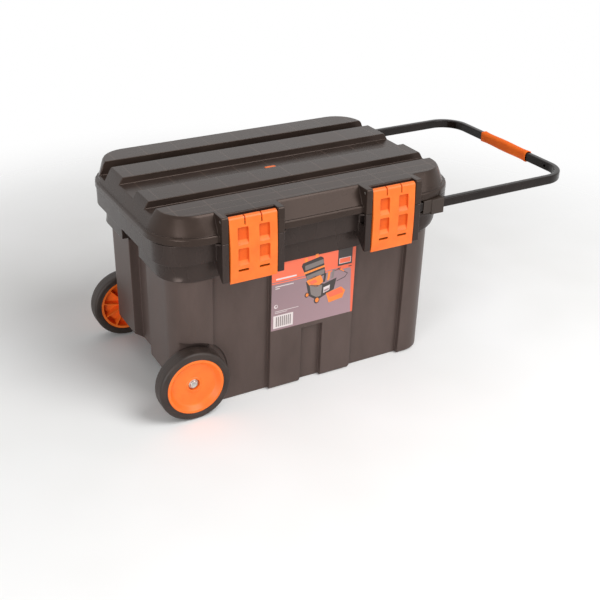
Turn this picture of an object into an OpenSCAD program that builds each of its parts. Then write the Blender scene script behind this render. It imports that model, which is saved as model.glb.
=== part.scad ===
// Wheeled tool chest: a moulded tub on two wheels, a ridged lid on a rear hinge,
// two front latches and a pull handle that slides along the chest.
// Frame: +X towards the handle end, -Y is the latch side, +Z up, floor at z = 0.

/* [Overall] */
// Length over the lid rim
rim_l = 620; // [590:1:650]
// Depth over the lid rim, front to back
rim_w = 408; // [396:1:420]
// Height of the seam between tub and lid
seam_z = 351; // [340:1:370]
// Height of the lid ridges above the seam
lid_h = 48; // [44:1:54]
// Plan radius of the rim corners
rim_r = 86; // [70:1:92]
// Wall thickness of the tub and lid mouldings
wall = 3; // [2.4:0.1:3.6]
// Depth of the skirt that the lid drops over the tub's edge
skirt_h = 15; // [13:1:18]

/* [Tub] */
// Distance from the middle to the wheel-end wall at the foot
wheel_end = 281; // [276:1:284]
// Distance from the middle to the handle-end wall at the foot
handle_end = 270; // [262:1:276]
// Depth of the tub over its raised panels at the foot
foot_w = 334; // [326:1:340]
// How far the front and back walls lean out from the foot to the lower band
draft = 9; // [6:1:11]
// Plan radius of the tub's lower corners
body_r = 40; // [30:1:46]
// Depth of the recesses between the raised panels
panel_d = 10; // [6:1:12]
// Half width of the middle panel that carries the label
panel_half = 90; // [80:1:100]
// Inner edge of the two corner posts, from the middle
post_x = 207; // [196:1:216]
// Half width of the channel that splits the foot of the middle panel
split_half = 23; // [14:1:30]
// Height at which that channel ends
split_z = 122; // [80:1:140]
// Height of the upper band
band1_h = 39; // [36:1:44]
// Height of the lower band
band2_h = 36; // [28:1:42]
// Set-back of the upper band from the rim at the ends
band1_in = 6; // [4:1:8]
// Set-back of the lower band from the upper band
band_step = 9; // [7:1:11]
// Thickness of the tub floor
floor_t = 3.5; // [3:0.5:5]
// Half width of the hand recess in the wheel-end wall
grip_half = 43; // [36:1:50]
// Depth of that recess
grip_d = 18; // [14:1:19]

/* [Wheels] */
// Wheel diameter over the tyre
wheel_d = 139; // [130:1:142]
// Width of the tyre
tyre_w = 31; // [26:1:34]
// Diameter of the hub inside the tyre
hub_d = 111; // [100:1:116]
// Distance from the middle to the axle
axle_x = 253; // [248:1:256]
// Axle diameter
axle_d = 10; // [8:1:12]
// Distance between the inner faces of the wheels
track = 326; // [322:1:330]
// Gap between the tyre and the wheel arch
arch_gap = 9; // [6:1:12]

/* [Latches] */
// Distance from the middle to each latch's centre line
latch_x = 144; // [130:1:150]
// Width of a latch
latch_w = 92; // [80:1:96]
// Length of a latch from its pivot down to its lower edge
latch_l = 118; // [110:1:120]
// Width of the bracket bar on each side of a latch
bar_w = 13; // [10:1:16]
// How far the bracket bars stand out from the rim
bar_out = 9; // [8:1:12]
// Diameter of the latch pin
latch_pin_d = 5; // [4:1:6]
// Wall thickness of the latch moulding
latch_t = 3; // [2.4:0.1:3.6]
// How far the latch plate bows out between its pivot and its lower edge
latch_bow = 3; // [1:0.5:3.5]

/* [Handle] */
// Thickness of the handle tube, across
tube_t = 12; // [10:1:13]
// Height of the handle tube
tube_h = 18; // [15:1:19]
// Wall of the handle tube
tube_wall = 1.5; // [1.2:0.1:2]
// Outer radius of the two bends
bend_r = 60; // [45:1:75]
// How far the pulled-out end bar stands beyond the rim
handle_out = 277; // [262:1:300]
// Length of the grip
grip_l = 150; // [110:1:220]
// Thickness of the grip sleeve
grip_t = 3; // [2:0.5:4]

/* [Lid] */
// Height of the shallow recesses below the ridges
recess_d = 13; // [9:1:16]
// Depth of the rear groove
groove_d = 26; // [18:1:28]
// Spacing of the ribs under the lid
rib_pitch = 66; // [50:1:80]
// Diameter of the lid hinge pins
hinge_pin_d = 6; // [5:1:7]
// Distance from the middle to each lid hinge
hinge_x = 150; // [130:1:160]

/* [Tray] */
// Length of the lift-out tray
tray_l = 236; // [190:1:260]
// Depth of the tray below its flange
tray_h = 78; // [60:1:100]
// Wall thickness of the tray
tray_t = 2.4; // [2:0.1:3]

/* [Hidden] */
$fn = 64;
e = 0.01;

// Running and seating clearances
run_gap = 0.08;
seat_gap = 0.3;
slide_gap = 0.5;
press_gap = 0.03;

// Rim and bands
rim_x = rim_l / 2;
rim_y = rim_w / 2;
tube_clear = 4;
band1_x = rim_x - band1_in;
band1_y = rim_y + 1 - tube_t - tube_clear;
band1_r = rim_r - 34;
edge_x = band1_x - 0.6;
edge_y = band1_y - 0.6;
edge_r = rim_r - 8;
band1_z = seam_z - band1_h;
band2_x = band1_x - band_step - 2;
band2_y = band1_y - band_step;
band2_r = body_r + 20;
end_lean = 0.5;
corner_grow = 8;
band2_z = band1_z - band2_h;
edge_z = seam_z + skirt_h - wall - seat_gap;

// Lean of the tub walls
lean = atan(draft / band2_z);
foot_y = foot_w / 2;

// Wheels
wheel_r = wheel_d / 2;
arch_r = wheel_r + arch_gap;
arch_y = track / 2 - 5;
arch_end = axle_x - arch_r;
tunnel_y = min(arch_y, foot_y) - wall;
step_z = wheel_r + arch_r;
step_x = -arch_end + wall + 1;
undercut_z = 68;
corner_t = 12;

// Latches
pivot_z = seam_z + lid_h - 8.6;
pivot_y = -rim_y - 0.5;
barrel_r = 5.4;
bar_y = -rim_y - bar_out;
bar_in = latch_w / 2 + 1.2;
bar_foot_z = pivot_z - latch_l + 4;
catch_z = pivot_z - latch_l + 24;
plate_y = pivot_y - barrel_r - 1.2;
plate_lean = 2;
pocket_w = 20.5;
pocket_x = 20.5;
pocket_h = 32;
pocket_lip = 8;
pocket_pitch = 38.5;
pocket_top = pivot_z - 14;
pocket_d = 4.2;
slot_h = 4.4;
slit_x = 16;
slit_w = 2.4;
slit_l = 18;
tab_r = 9;
tab_t = 2.6;

// Handle
arm_y = rim_y + 1 - tube_t / 2;
tube_z = seam_z - 3.5 - tube_h / 2;
handle_x = rim_x + handle_out;
stop_x = latch_x + bar_in;
plug_l = 10;
plug_lip = 1.2;
guide_x0 = stop_x + bar_w + 12;
guide_x1 = guide_x0 + 46;
guide_collar_l = 28;
guide_wall = 3;

// Lid
lid_top = seam_z + lid_h;
crown_front = rim_y - 22;
crown_back = rim_y - 11;
crown_end = rim_x - 24;
hinge_y = rim_y + 9;
hinge_z = seam_z + 8;
knuckle_r = 7;
knuckle_l = 30;
ear_w = 10;
ear_gap = 0.5;
shelf_y = pivot_y + barrel_r + 2.5;
rack_z = lid_top - recess_d - wall - 9;
rack_y = 5;
rack_l = 420;
rack_w = 34;
rack_t = 4;
rack_slots = 10;
rack_slot = [22, 12];
rack_pitch = 34;
rack_screw_x = 190;
rack_screw_r = 1.75;
rack_boss_r = 6;
badge = [22, 9, 1];

// Tray
tray_x0 = -(wheel_end - grip_d - wall - 10);
tray_z = band1_z + wall + seat_gap;
tray_half = foot_y - panel_d - wall + 2;
tray_mid = tray_x0 + tray_l / 2;
tray_r = 26;

orange = [0.96, 0.42, 0.13];
graphite = [0.27, 0.25, 0.24];
black = [0.13, 0.12, 0.12];
steel = [0.75, 0.75, 0.74];
coral = [0.93, 0.44, 0.34];

// Outline of a rounded rectangle from x0 to x1 and y0 to y1, with n steps in each corner
function ring(x0, x1, y0, y1, r, z, n = 7) = [
    for (c = [[x1 - r, y1 - r, 0], [x0 + r, y1 - r, 90], [x0 + r, y0 + r, 180], [x1 - r, y0 + r, 270]])
        for (i = [0 : n]) [c[0] + r * cos(c[2] + 90 * i / n), c[1] + r * sin(c[2] + 90 * i / n), z]
];

// Solid skinned over a stack of rings that all have the same number of points
module loft(rings) {
    m = len(rings[0]);
    k = len(rings);
    sides = [for (j = [0 : k - 2]) for (i = [0 : m - 1]) each [
        [j * m + i, (j + 1) * m + i, (j + 1) * m + (i + 1) % m],
        [j * m + i, (j + 1) * m + (i + 1) % m, j * m + (i + 1) % m]]];
    polyhedron(
        points = [for (s = rings) each s],
        faces = concat([[for (i = [0 : m - 1]) i]], sides,
                       [[for (i = [m - 1 : -1 : 0]) (k - 1) * m + i]]));
}

// Rounded rectangle with true arcs
module round_rect(l, w, r) {
    square([l - 2 * r, w], center = true);
    square([l, w - 2 * r], center = true);
    for (sx = [-1, 1], sy = [-1, 1]) translate([sx * (l / 2 - r), sy * (w / 2 - r)]) circle(r);
}

// A profile drawn in Y and Z, extruded along X between x0 and x1
module along_x(x0, x1) {
    translate([x0, 0, 0]) rotate([90, 0, 90]) linear_extrude(x1 - x0) children();
}

// A cylinder along X and one along Y
module rod_x(x0, x1, y, z, r) {
    translate([x0, y, z]) rotate([0, 90, 0]) cylinder(h = x1 - x0, r = r);
}

module rod_y(y0, y1, x, z, r) {
    translate([x, y0, z]) rotate([-90, 0, 0]) cylinder(h = y1 - y0, r = r);
}

// Frame that leans with the front wall: local z runs up the wall, local y = 0 is its raised face
module on_front_wall() {
    translate([0, -foot_y, 0]) rotate([lean, 0, 0]) children();
}

module both_sides() {
    children();
    mirror([0, 1, 0]) children();
}

// Tub, outside
module tub_outer() {
    y = function(z) foot_y + draft * z / band2_z;
    x0 = function(z) -wheel_end - end_lean * z / band2_z;
    x1 = function(z) handle_end + 2 * z / band2_z;
    r = function(z) body_r + corner_grow * z / band2_z;
    seam = seam_z - seat_gap;
    curl = band2_x - x1(band2_z);
    loft([
        ring(x0(0) + 3, x1(0) - 5, -y(0) + 3, y(0) - 3, body_r - 3, 0),
        ring(x0(5), x1(8), -y(5), y(5), r(5), 5),
        ring(x0(band2_z), x1(band2_z), -y(band2_z), y(band2_z), r(band2_z), band2_z),
        ring(-band2_x, band2_x - curl * 0.8, -band2_y, band2_y, r(band2_z) + 5, band2_z),
        ring(-band2_x, band2_x - curl * 0.35, -band2_y, band2_y, r(band2_z) + 9, band2_z + 5),
        ring(-band2_x, band2_x - curl * 0.08, -band2_y, band2_y, r(band2_z) + 12, band2_z + 12),
        ring(-band2_x, band2_x, -band2_y, band2_y, band2_r, band2_z + 20),
        ring(-band2_x, band2_x, -band2_y, band2_y, band2_r, band1_z),
        ring(-band1_x, band1_x, -band1_y, band1_y, band1_r, band1_z),
        ring(-band1_x, band1_x, -band1_y, band1_y, band1_r, seam),
        ring(-edge_x, edge_x, -edge_y, edge_y, edge_r, seam),
        ring(-edge_x, edge_x, -edge_y, edge_y, edge_r, edge_z)]);
}

// Room inside the tub, with the ledge that the tray rests on
module tub_room() {
    y = function(z) foot_y - panel_d - wall + draft * z / band2_z;
    x0 = function(z) -wheel_end + wall - end_lean * z / band2_z;
    x1 = function(z) handle_end - wall + 2 * z / band2_z;
    r = function(z) body_r - wall + corner_grow * z / band2_z;
    b2 = band2_z + wall;
    b1 = band1_z + wall;
    neck = seam_z - seat_gap - wall;
    loft([
        ring(x0(0) + 4, x1(0) - 6, -y(0) + 4, y(0) - 4, body_r - wall - 4, floor_t),
        ring(x0(9), x1(9) - 1, -y(9), y(9), r(9), floor_t + 6),
        ring(x0(b2), x1(b2), -y(b2), y(b2), r(b2), b2),
        ring(-band2_x + wall, x1(b2) + 1, -band2_y + wall, band2_y - wall, band2_r - wall, b2),
        ring(-band2_x + wall, band2_x - wall, -band2_y + wall, band2_y - wall, band2_r - wall, b2 + 20),
        ring(-band2_x + wall, band2_x - wall, -band2_y + wall, band2_y - wall, band2_r - wall, b1),
        ring(-band1_x + wall, band1_x - wall, -band1_y + wall, band1_y - wall, band1_r - wall, b1),
        ring(-band1_x + wall, band1_x - wall, -band1_y + wall, band1_y - wall, band1_r - wall, neck),
        ring(-edge_x + wall, edge_x - wall, -edge_y + wall, edge_y - wall, edge_r - wall, neck),
        ring(-edge_x + wall, edge_x - wall, -edge_y + wall, edge_y - wall, edge_r - wall, edge_z + 1)]);
}

// A vertical panel between x0 and x1 and heights z0 and z1, sunk d into the front wall
module wall_panel(x0, x1, z0, z1, d, out = 20) {
    on_front_wall() translate([x0, -out, z0]) cube([x1 - x0, out + d, z1 - z0]);
}

// Recesses between the raised panels, front and back
module panel_recesses() {
    both_sides() {
        wall_panel(-post_x, -panel_half, -5, band2_z + 0.15, panel_d);
        wall_panel(panel_half, post_x, -5, band2_z + 0.15, panel_d);
        wall_panel(-split_half, split_half, -5, split_z, panel_d);
    }
}

// The raised panels are hollow from inside, so the wall keeps one thickness
module panel_backs() {
    d = panel_d + wall + 1;
    z0 = floor_t + 8;
    for (s = [-1, 1]) {
        both_sides() {
            on_front_wall() {
                x = s * (post_x + wall);
                w = 24;
                translate([min(x, x + s * w), wall, s < 0 ? step_z + wall + 6 : z0])
                    cube([w, d, band2_z - 10 - (s < 0 ? step_z + wall + 6 : z0)]);
                translate([s > 0 ? split_half + wall : -panel_half + wall, wall, z0])
                    cube([panel_half - split_half - 2 * wall, d, band2_z - 10 - z0]);
            }
        }
    }
    both_sides() on_front_wall() translate([-panel_half + wall, wall, split_z + wall])
        cube([2 * (panel_half - wall), d, band2_z - 10 - split_z - wall]);
}

// Wheel arches, the hollow between them and the cut that lets the chest tip onto its wheels
module wheel_arches() {
    both_sides() {
        rod_y(arch_y, rim_y, -axle_x, wheel_r, arch_r);
        translate([-axle_x - arch_r - 20, arch_y, -1]) cube([arch_r + 20, rim_y, step_z + 1]);
        translate([-axle_x - 1, arch_y, -1]) cube([arch_r + 1, rim_y, wheel_r + 1]);
    }
}

module axle_tunnel() {
    x0 = -wheel_end + corner_t;
    xg = -wheel_end + grip_d + wall;
    difference() {
        translate([x0, -tunnel_y, -1]) cube([-arch_end - x0, 2 * tunnel_y, step_z - wall + 5]);
        both_sides() rod_y(arch_y - 15, arch_y, -axle_x, wheel_r, axle_d / 2 + 4);
        translate([x0 - 1, -grip_half - wall, -2]) cube([xg - x0 + 1, 2 * (grip_half + wall), step_z + 10]);
    }
    rotate([90, 0, 0]) linear_extrude(rim_w, center = true)
        polygon([[-rim_x, -1], [-rim_x, undercut_z + 6], [-wheel_end, undercut_z], [-arch_end - 12, -1]]);
}

// Hand recess in the wheel-end wall, under the upper band
module hand_recess(grow = 0) {
    translate([-rim_x, -grip_half - grow, -1])
        cube([rim_x - wheel_end + grip_d + grow, 2 * (grip_half + grow), band1_z + 1 + grow]);
}

// Side view of a bracket bar below the seam: it tapers to its foot
module tub_bar_profile() {
    polygon([[bar_y, bar_foot_z], [bar_y, seam_z - seat_gap], [-band1_y + 2, seam_z - seat_gap],
             [-band1_y + 2, band1_z + 8], [-band2_y + 2, band1_z - 6], [bar_y + 5, bar_foot_z]]);
}

// Opening for the handle arm, g wider than the tube all round
module arm_slot(x0, x1, g) {
    translate([x0, -arm_y - tube_t / 2 - g, tube_z - tube_h / 2 - g])
        cube([x1 - x0, tube_t + 2 * g, tube_h + 2 * g]);
}

// Brackets, catch and locating tabs of one latch, drawn for the handle-end latch
module tub_latch_seat(arm) {
    x0 = latch_x - bar_in - bar_w;
    x1 = latch_x + bar_in;
    difference() {
        for (x = [x0, x1]) along_x(x, x + bar_w) tub_bar_profile();
        if (arm) {
            arm_slot(x0 - 1, x0 + bar_w + 1, plug_lip + slide_gap);
            arm_slot(x1 - 1, x1 + bar_w + 1, slide_gap);
        }
    }
    along_x(x0 + 1, x1 + 1)
        polygon([[-band2_y + 2, catch_z + 9], [-rim_y + 8, catch_z + 5], [-rim_y + 7.5, catch_z],
                 [-band2_y + 2, catch_z]]);
    for (x = [x0, x1 + bar_w]) translate([x, -rim_y + 5, seam_z - seat_gap - tab_t]) {
        cylinder(h = tab_t, r = tab_r);
        translate([-tab_r + 0.6, 0, 0]) cube([2 * tab_r - 1.2, rim_y - band1_y - 3, tab_t]);
    }
}

// Loop that carries the inner end of the rear handle arm
module rear_arm_loop() {
    x0 = latch_x + bar_in;
    mirror([0, 1, 0]) difference() {
        along_x(x0, x0 + bar_w)
            polygon([[bar_y + 3, tube_z - tube_h / 2 - 5], [bar_y + 3, seam_z - seat_gap],
                     [-band1_y + 2, seam_z - seat_gap], [-band1_y + 2, tube_z - tube_h / 2 - 12]]);
        arm_slot(x0 - 1, x0 + bar_w + 1, slide_gap);
    }
}

// Two ears of one lid hinge, bent round the path of the handle arm
module hinge_ears(x) {
    inner = arm_y + tube_t / 2 + plug_lip + slide_gap + 0.2;
    low = tube_z - tube_h / 2 - plug_lip - slide_gap - 0.5;
    outer = hinge_y + knuckle_r - 0.6;
    for (s = [-1, 1]) {
        xa = x + s * (knuckle_l / 2 + ear_gap + ear_w / 2) - ear_w / 2;
        difference() {
            union() {
                along_x(xa, xa + ear_w)
                    polygon([[band2_y - 4, band1_z - 14], [outer - 12, low - 12], [outer, low],
                             [outer, hinge_z], [inner, hinge_z], [inner, low], [band1_y - 2, low],
                             [band2_y - 4, low]]);
                rod_x(xa, xa + ear_w, hinge_y, hinge_z, knuckle_r);
            }
            rod_x(xa - 1, xa + ear_w + 1, hinge_y, hinge_z, hinge_pin_d / 2 + press_gap);
        }
    }
}

// Screw places of a handle guide
guide_screw_x = guide_x0 + 5;
guide_screw_z = [tube_z - 6, tube_z + 6];
guide_screw_r = 1.5;

module tub() {
    color(graphite) difference() {
        union() {
            difference() {
                tub_outer();
                panel_recesses();
            }
            tub_latch_seat(true);
            mirror([1, 0, 0]) tub_latch_seat(false);
            rear_arm_loop();
            for (s = [-1, 1]) hinge_ears(s * hinge_x);
        }
        difference() {
            union() {
                tub_room();
                panel_backs();
            }
            translate([-rim_x, -rim_y, -1]) cube([rim_x + step_x, rim_w, step_z + wall + 3]);
            hand_recess(wall);
        }
        wheel_arches();
        axle_tunnel();
        hand_recess();
        rod_y(-arch_y - 1, arch_y + 1, -axle_x, wheel_r, axle_d / 2 + press_gap);
        both_sides() for (z = guide_screw_z)
            rod_y(-band1_y - 1, -band1_y + wall + 1, guide_screw_x, z, guide_screw_r + press_gap);
    }
}

// Label on the middle panel, above the split
label_w = 2 * panel_half - 1;
label_z0 = split_z + 9;
label_h = band2_z - label_z0 - 3;
label_t = 0.4;

module label() {
    color(coral) on_front_wall()
        translate([-label_w / 2, -label_t - 0.02, label_z0]) cube([label_w, label_t, label_h]);
}

// Axle with its push-on caps
cap_sunk = 15;
cap_y = track / 2 + tyre_w - cap_sunk;
cap_r = 10;
cap_t = 5;

module axle() {
    color(steel) rod_y(-cap_y - 3, cap_y + 3, -axle_x, wheel_r, axle_d / 2);
}

module axle_cap() {
    translate([-axle_x, -cap_y, wheel_r]) rotate([90, 0, 0]) rotate_extrude()
        difference() {
            polygon([[0, 0], [cap_r, 0], [cap_r, 2], [cap_r - 2, 3.6], [5, cap_t], [0, cap_t]]);
            translate([-e, -e]) square([axle_d / 2 + press_gap + e, 3.1 + e]);
        }
}

module axle_cap_front() {
    color(steel) axle_cap();
}

module axle_cap_rear() {
    color(steel) mirror([0, 1, 0]) axle_cap();
}

// Tyre: round shoulders, flat tread
module tyre_at(y) {
    w = tyre_w / 2;
    s = 5;
    translate([-axle_x, y, wheel_r]) rotate([90, 0, 0]) rotate_extrude() {
        translate([hub_d / 2, -w + s]) square([wheel_r - hub_d / 2, tyre_w - 2 * s]);
        translate([hub_d / 2, -w]) square([wheel_r - hub_d / 2 - s, tyre_w]);
        for (a = [-1, 1]) translate([wheel_r - s, a * (w - s)]) circle(s, $fn = 32);
    }
}

// Hub: broad raised rim, deep dish outside, ribs inside
hub_rim_t = 5.5;
hub_web_t = 3;
hub_boss_r = 15;
hub_ribs = 10;
hub_rib_t = 2.4;

module hub_shape() {
    w = tyre_w / 2;
    r = hub_d / 2;
    web = w - 11;
    lip = r - hub_rim_t;
    dish = lip - 7;
    seat = cap_y - track / 2 - w - 0.4;
    difference() {
        union() {
            rotate_extrude()
                polygon([[0, -w - 4.6], [hub_boss_r - 3, -w - 4.6], [hub_boss_r, -w],
                         [hub_boss_r, web - hub_web_t], [dish, web - hub_web_t], [lip, w - 4.5],
                         [lip, -w + 2], [r, -w + 2], [r, w - 1], [r - 1.5, w - 0.3], [lip, w - 0.3],
                         [dish, web + 1.2], [cap_r + 6, web + 0.6], [cap_r + 4.5, web + 2],
                         [cap_r + 1.5, web + 2], [cap_r + 1.2, seat], [0, seat]]);
            for (i = [0 : hub_ribs - 1]) rotate([0, 0, 360 / hub_ribs * i + 12])
                rotate([90, 0, 0]) linear_extrude(hub_rib_t, center = true)
                    polygon([[hub_boss_r - 1, -w + 3], [lip + 1, -w + 3], [lip + 1, w - 5],
                             [dish + 0.5, web - hub_web_t + 1], [hub_boss_r - 1, web - hub_web_t + 1]]);
        }
        translate([0, 0, -w - 6]) cylinder(h = tyre_w + 12, r = axle_d / 2 + run_gap);
    }
}

// Wheel places: the local +Z of a hub points outwards
module hub_at(side) {
    translate([-axle_x, side * (track / 2 + tyre_w / 2), wheel_r]) rotate([-90 * side, 0, 0]) hub_shape();
}

module tyre_front() {
    color(black) tyre_at(-(track + tyre_w) / 2);
}

module hub_front() {
    color(orange) hub_at(-1);
}

module tyre_rear() {
    color(black) tyre_at((track + tyre_w) / 2);
}

module hub_rear() {
    color(orange) hub_at(1);
}

// Handle guide: a sleeve with a thicker collar at its outer end
module guide() {
    y0 = -band1_y - 0.05;
    y1 = -arm_y - tube_t / 2 - slide_gap;
    z0 = tube_z - tube_h / 2 - slide_gap;
    z1 = seam_z - seat_gap;
    difference() {
        union() {
            along_x(guide_x0, guide_x1)
                polygon([[y0, z0 - 2 * guide_wall], [y1 - 1.2, z0 - 2 * guide_wall + 2], [y1 - 1.2, z1],
                         [y0, z1]]);
            along_x(guide_x1 - guide_collar_l, guide_x1)
                polygon([[y0, z0 - 2 * guide_wall - 2], [y1 - guide_wall, z0 - 2 * guide_wall - 2],
                         [y1 - guide_wall, z1], [y0, z1]]);
        }
        arm_slot(guide_x0 - 1, guide_x1 + 1, slide_gap);
        for (z = guide_screw_z) rod_y(y0 - 2.6, y0 + 1, guide_screw_x, z, guide_screw_r + press_gap);
    }
}

module handle_guide_front() {
    color(graphite) guide();
}

module handle_guide_rear() {
    color(graphite) mirror([0, 1, 0]) guide();
}

// Screws that hold the guides from inside the tub
module guide_screws() {
    inside = -band1_y + wall + press_gap;
    color(steel) both_sides() for (z = guide_screw_z) {
        rod_y(-band1_y - 2.4, inside, guide_screw_x, z, guide_screw_r);
        translate([guide_screw_x, inside, z]) rotate([-90, 0, 0]) cylinder(h = 1.8, r1 = 3, r2 = 2.2);
    }
}

// Lid hinge pins, held in the tub's ears
hinge_pin_l = knuckle_l + 2 * (ear_gap + ear_w);

module hinge_pin(x) {
    rod_x(x - hinge_pin_l / 2, x + hinge_pin_l / 2, hinge_y, hinge_z, hinge_pin_d / 2);
}

module hinge_pin_left() {
    color(steel) hinge_pin(-hinge_x);
}

module hinge_pin_right() {
    color(steel) hinge_pin(hinge_x);
}

// The tray narrows towards its floor, and a boss of its handle sits in each wall
tray_taper = 6;
boss_r = 5;
boss_z = tray_z - 10;
divider_drop = 21;

// Half depth of the tray at height z
function tray_y(z) = tray_half - tray_taper * (tray_z + 1 - z) / (tray_h - 3);

// Half depth of the tray's room at height z
function tray_room_y(z) = tray_half - tray_t - tray_taper * (tray_z + 4 - z) / (tray_h - tray_t);

// Arch of the tray's handle: height, half length of its grip, width and thickness
tray_grip_h = 42;
tray_grip_half = 90;
tray_grip_w = 18;
tray_grip_t = 8;

module tray_outer() {
    x1 = tray_x0 + tray_l;
    y = tray_half;
    z = tray_z - tray_h;
    loft([
        ring(tray_x0 + 8, x1 - 8, -y + 8, y - 8, tray_r - 6, z),
        ring(tray_x0 + tray_taper, x1 - tray_taper, -y + tray_taper, y - tray_taper, tray_r - 4, z + 4),
        ring(tray_x0, x1, -y, y, tray_r, tray_z + 1)]);
}

module tray_room() {
    x0 = tray_x0 + tray_t;
    x1 = tray_x0 + tray_l - tray_t;
    y = tray_half - tray_t;
    z = tray_z - tray_h + tray_t;
    loft([
        ring(x0 + 8, x1 - 8, -y + 8, y - 8, tray_r - 9, z),
        ring(x0 + tray_taper, x1 - tray_taper, -y + tray_taper, y - tray_taper, tray_r - 7, z + 4),
        ring(x0, x1, -y, y, tray_r - tray_t, tray_z + 4)]);
}

// Lift-out tray that hangs by its flange on the ledge inside the tub, with two dividers
module tray() {
    flange = band1_y - wall - 1;
    color(orange) difference() {
        union() {
            difference() {
                union() {
                    tray_outer();
                    translate([tray_mid, 0, tray_z]) linear_extrude(3)
                        round_rect(tray_l + 12, 2 * flange, tray_r + 6);
                }
                tray_room();
            }
            intersection() {
                tray_outer();
                for (s = [-1, 1]) translate([tray_mid + s * tray_l / 6 - 1, -rim_y, 0])
                    cube([2, rim_w, tray_z - divider_drop]);
            }
        }
        rod_y(-rim_y, rim_y, tray_mid, boss_z, boss_r + press_gap);
    }
}

// Carrying handle of the tray: an arch whose feet plug into the tray's walls
module tray_handle() {
    top = tray_z + tray_grip_h;
    foot = tray_z - 20;
    rise = tray_z + 8;
    leg = function(z) tray_room_y(z) - press_gap;
    t = tray_grip_t - 2;
    half = tray_grip_half;
    color(orange) {
        along_x(tray_mid - tray_grip_w / 2, tray_mid + tray_grip_w / 2) difference() {
            polygon([[-leg(foot), foot], [-leg(rise), rise], [-half, top], [half, top], [leg(rise), rise],
                     [leg(foot), foot]]);
            polygon([[t - leg(foot), foot - 1], [t - leg(rise), rise - 3], [3 - half, top - tray_grip_t],
                     [half - 3, top - tray_grip_t], [leg(rise) - t, rise - 3], [leg(foot) - t, foot - 1]]);
        }
        both_sides() rod_y(leg(foot) - 4, tray_y(boss_z) - 0.2, tray_mid, boss_z, boss_r);
    }
}

// Lid, outside: skirt, bead and the crown with its coved front
module lid_outer() {
    z = seam_z + skirt_h;
    h = lid_top - z;
    slope = function(t, top, foot) foot + (top - foot) * t;
    loft([
        ring(-rim_x + 0.8, rim_x - 0.8, -rim_y + 0.8, rim_y - 0.8, rim_r, seam_z),
        ring(-rim_x, rim_x, -rim_y, rim_y, rim_r, seam_z + 1.5),
        ring(-rim_x, rim_x, -rim_y, rim_y, rim_r, z - 3),
        ring(-rim_x + 2, rim_x - 2, -rim_y + 2, rim_y - 2, rim_r - 2, z),
        ring(-rim_x + 6, rim_x - 6, -rim_y + 5, rim_y - 5, rim_r - 4, z - 0.6),
        for (t = [0.12, 0.35, 0.6, 0.85])
            ring(-slope(t, crown_end, rim_x - 6), slope(t, crown_end, rim_x - 6),
                 -slope(t, crown_front, rim_y - 5), slope(t, crown_back, rim_y - 5),
                 rim_r - 4 - 28 * t, z + h * t),
        ring(-crown_end, crown_end, -crown_front, crown_back, 54, lid_top - 1.6),
        ring(-crown_end + 1.6, crown_end - 1.6, -crown_front + 1.6, crown_back - 1.6, 52.4, lid_top)]);
}

// Room under the crown
module lid_room() {
    z = seam_z + skirt_h;
    lip_x = edge_x - wall - 4;
    lip_y = edge_y - wall - 4;
    loft([
        ring(-lip_x, lip_x, -lip_y, lip_y, edge_r - 8, seam_z - 5),
        ring(-lip_x, lip_x, -lip_y, lip_y, edge_r - 8, z),
        ring(-crown_end - 9, crown_end + 9, -crown_front - 8, crown_back, 68, z + 1),
        ring(-crown_end - 6, crown_end + 6, -crown_front - 5, crown_back - 1, 62, z + 10),
        ring(-crown_end + wall, crown_end - wall, -crown_front + wall, crown_back - wall, 51,
             lid_top - wall)]);
}

// Cross-section of the grooves between the ridges, grown by g for their inside faces
module groove_profile(g) {
    cuts = [
        [crown_back - 91, crown_back - 57, groove_d],
        [-31, 41, recess_d],
        [-crown_front + 61, -crown_front + 96, recess_d]];
    for (c = cuts)
        polygon([[c[0] + 1.5 - g, lid_top - c[2] - g], [c[1] - 1.5 + g, lid_top - c[2] - g],
                 [c[1] + g, lid_top + 5], [c[0] - g, lid_top + 5]]);
}

// Channel under the skirt that the tub's edge stands in
module edge_channel() {
    translate([0, 0, seam_z - 1]) linear_extrude(edge_z + seat_gap - seam_z + 1) difference() {
        round_rect(rim_l - 2 * wall, rim_w - 2 * wall, rim_r - wall);
        round_rect(2 * (edge_x - wall) - 1.4, 2 * (edge_y - wall) - 1.4, edge_r - wall - 0.7);
    }
}

// Bracket and top shelf of one latch on the lid
module lid_latch_seat(x) {
    for (s = [-1, 1]) {
        xa = s > 0 ? x + bar_in : x - bar_in - bar_w;
        along_x(xa, xa + bar_w)
            polygon([[bar_y, seam_z], [bar_y, lid_top - 2.5], [bar_y + 2.5, lid_top],
                     [-crown_front + 2, lid_top], [-crown_front + 2, seam_z + skirt_h],
                     [-rim_y + 1, seam_z + skirt_h - 2], [-rim_y + 1, seam_z]]);
    }
    along_x(x - bar_in - 1, x + bar_in + 1)
        polygon([[shelf_y, seam_z + skirt_h - 3], [shelf_y, lid_top - 1.5], [shelf_y + 1.5, lid_top],
                 [-crown_front + 2, lid_top], [-crown_front + 2, seam_z + skirt_h - 3]]);
}

// Knuckle of one lid hinge
module lid_knuckle(x) {
    rod_x(x - knuckle_l / 2, x + knuckle_l / 2, hinge_y, hinge_z, knuckle_r);
    translate([x - knuckle_l / 2, rim_y - 2, hinge_z - 5.5])
        cube([knuckle_l, hinge_y - rim_y + 2, knuckle_r + 5.5]);
}

// Ribs under the lid
module lid_ribs() {
    n = floor((crown_end - 30) / rib_pitch);
    intersection() {
        lid_room();
        for (i = [-n : n]) translate([i * rib_pitch - 1, -rim_y, lid_top - wall - 8]) cube([2, rim_w, 20]);
    }
}

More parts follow.
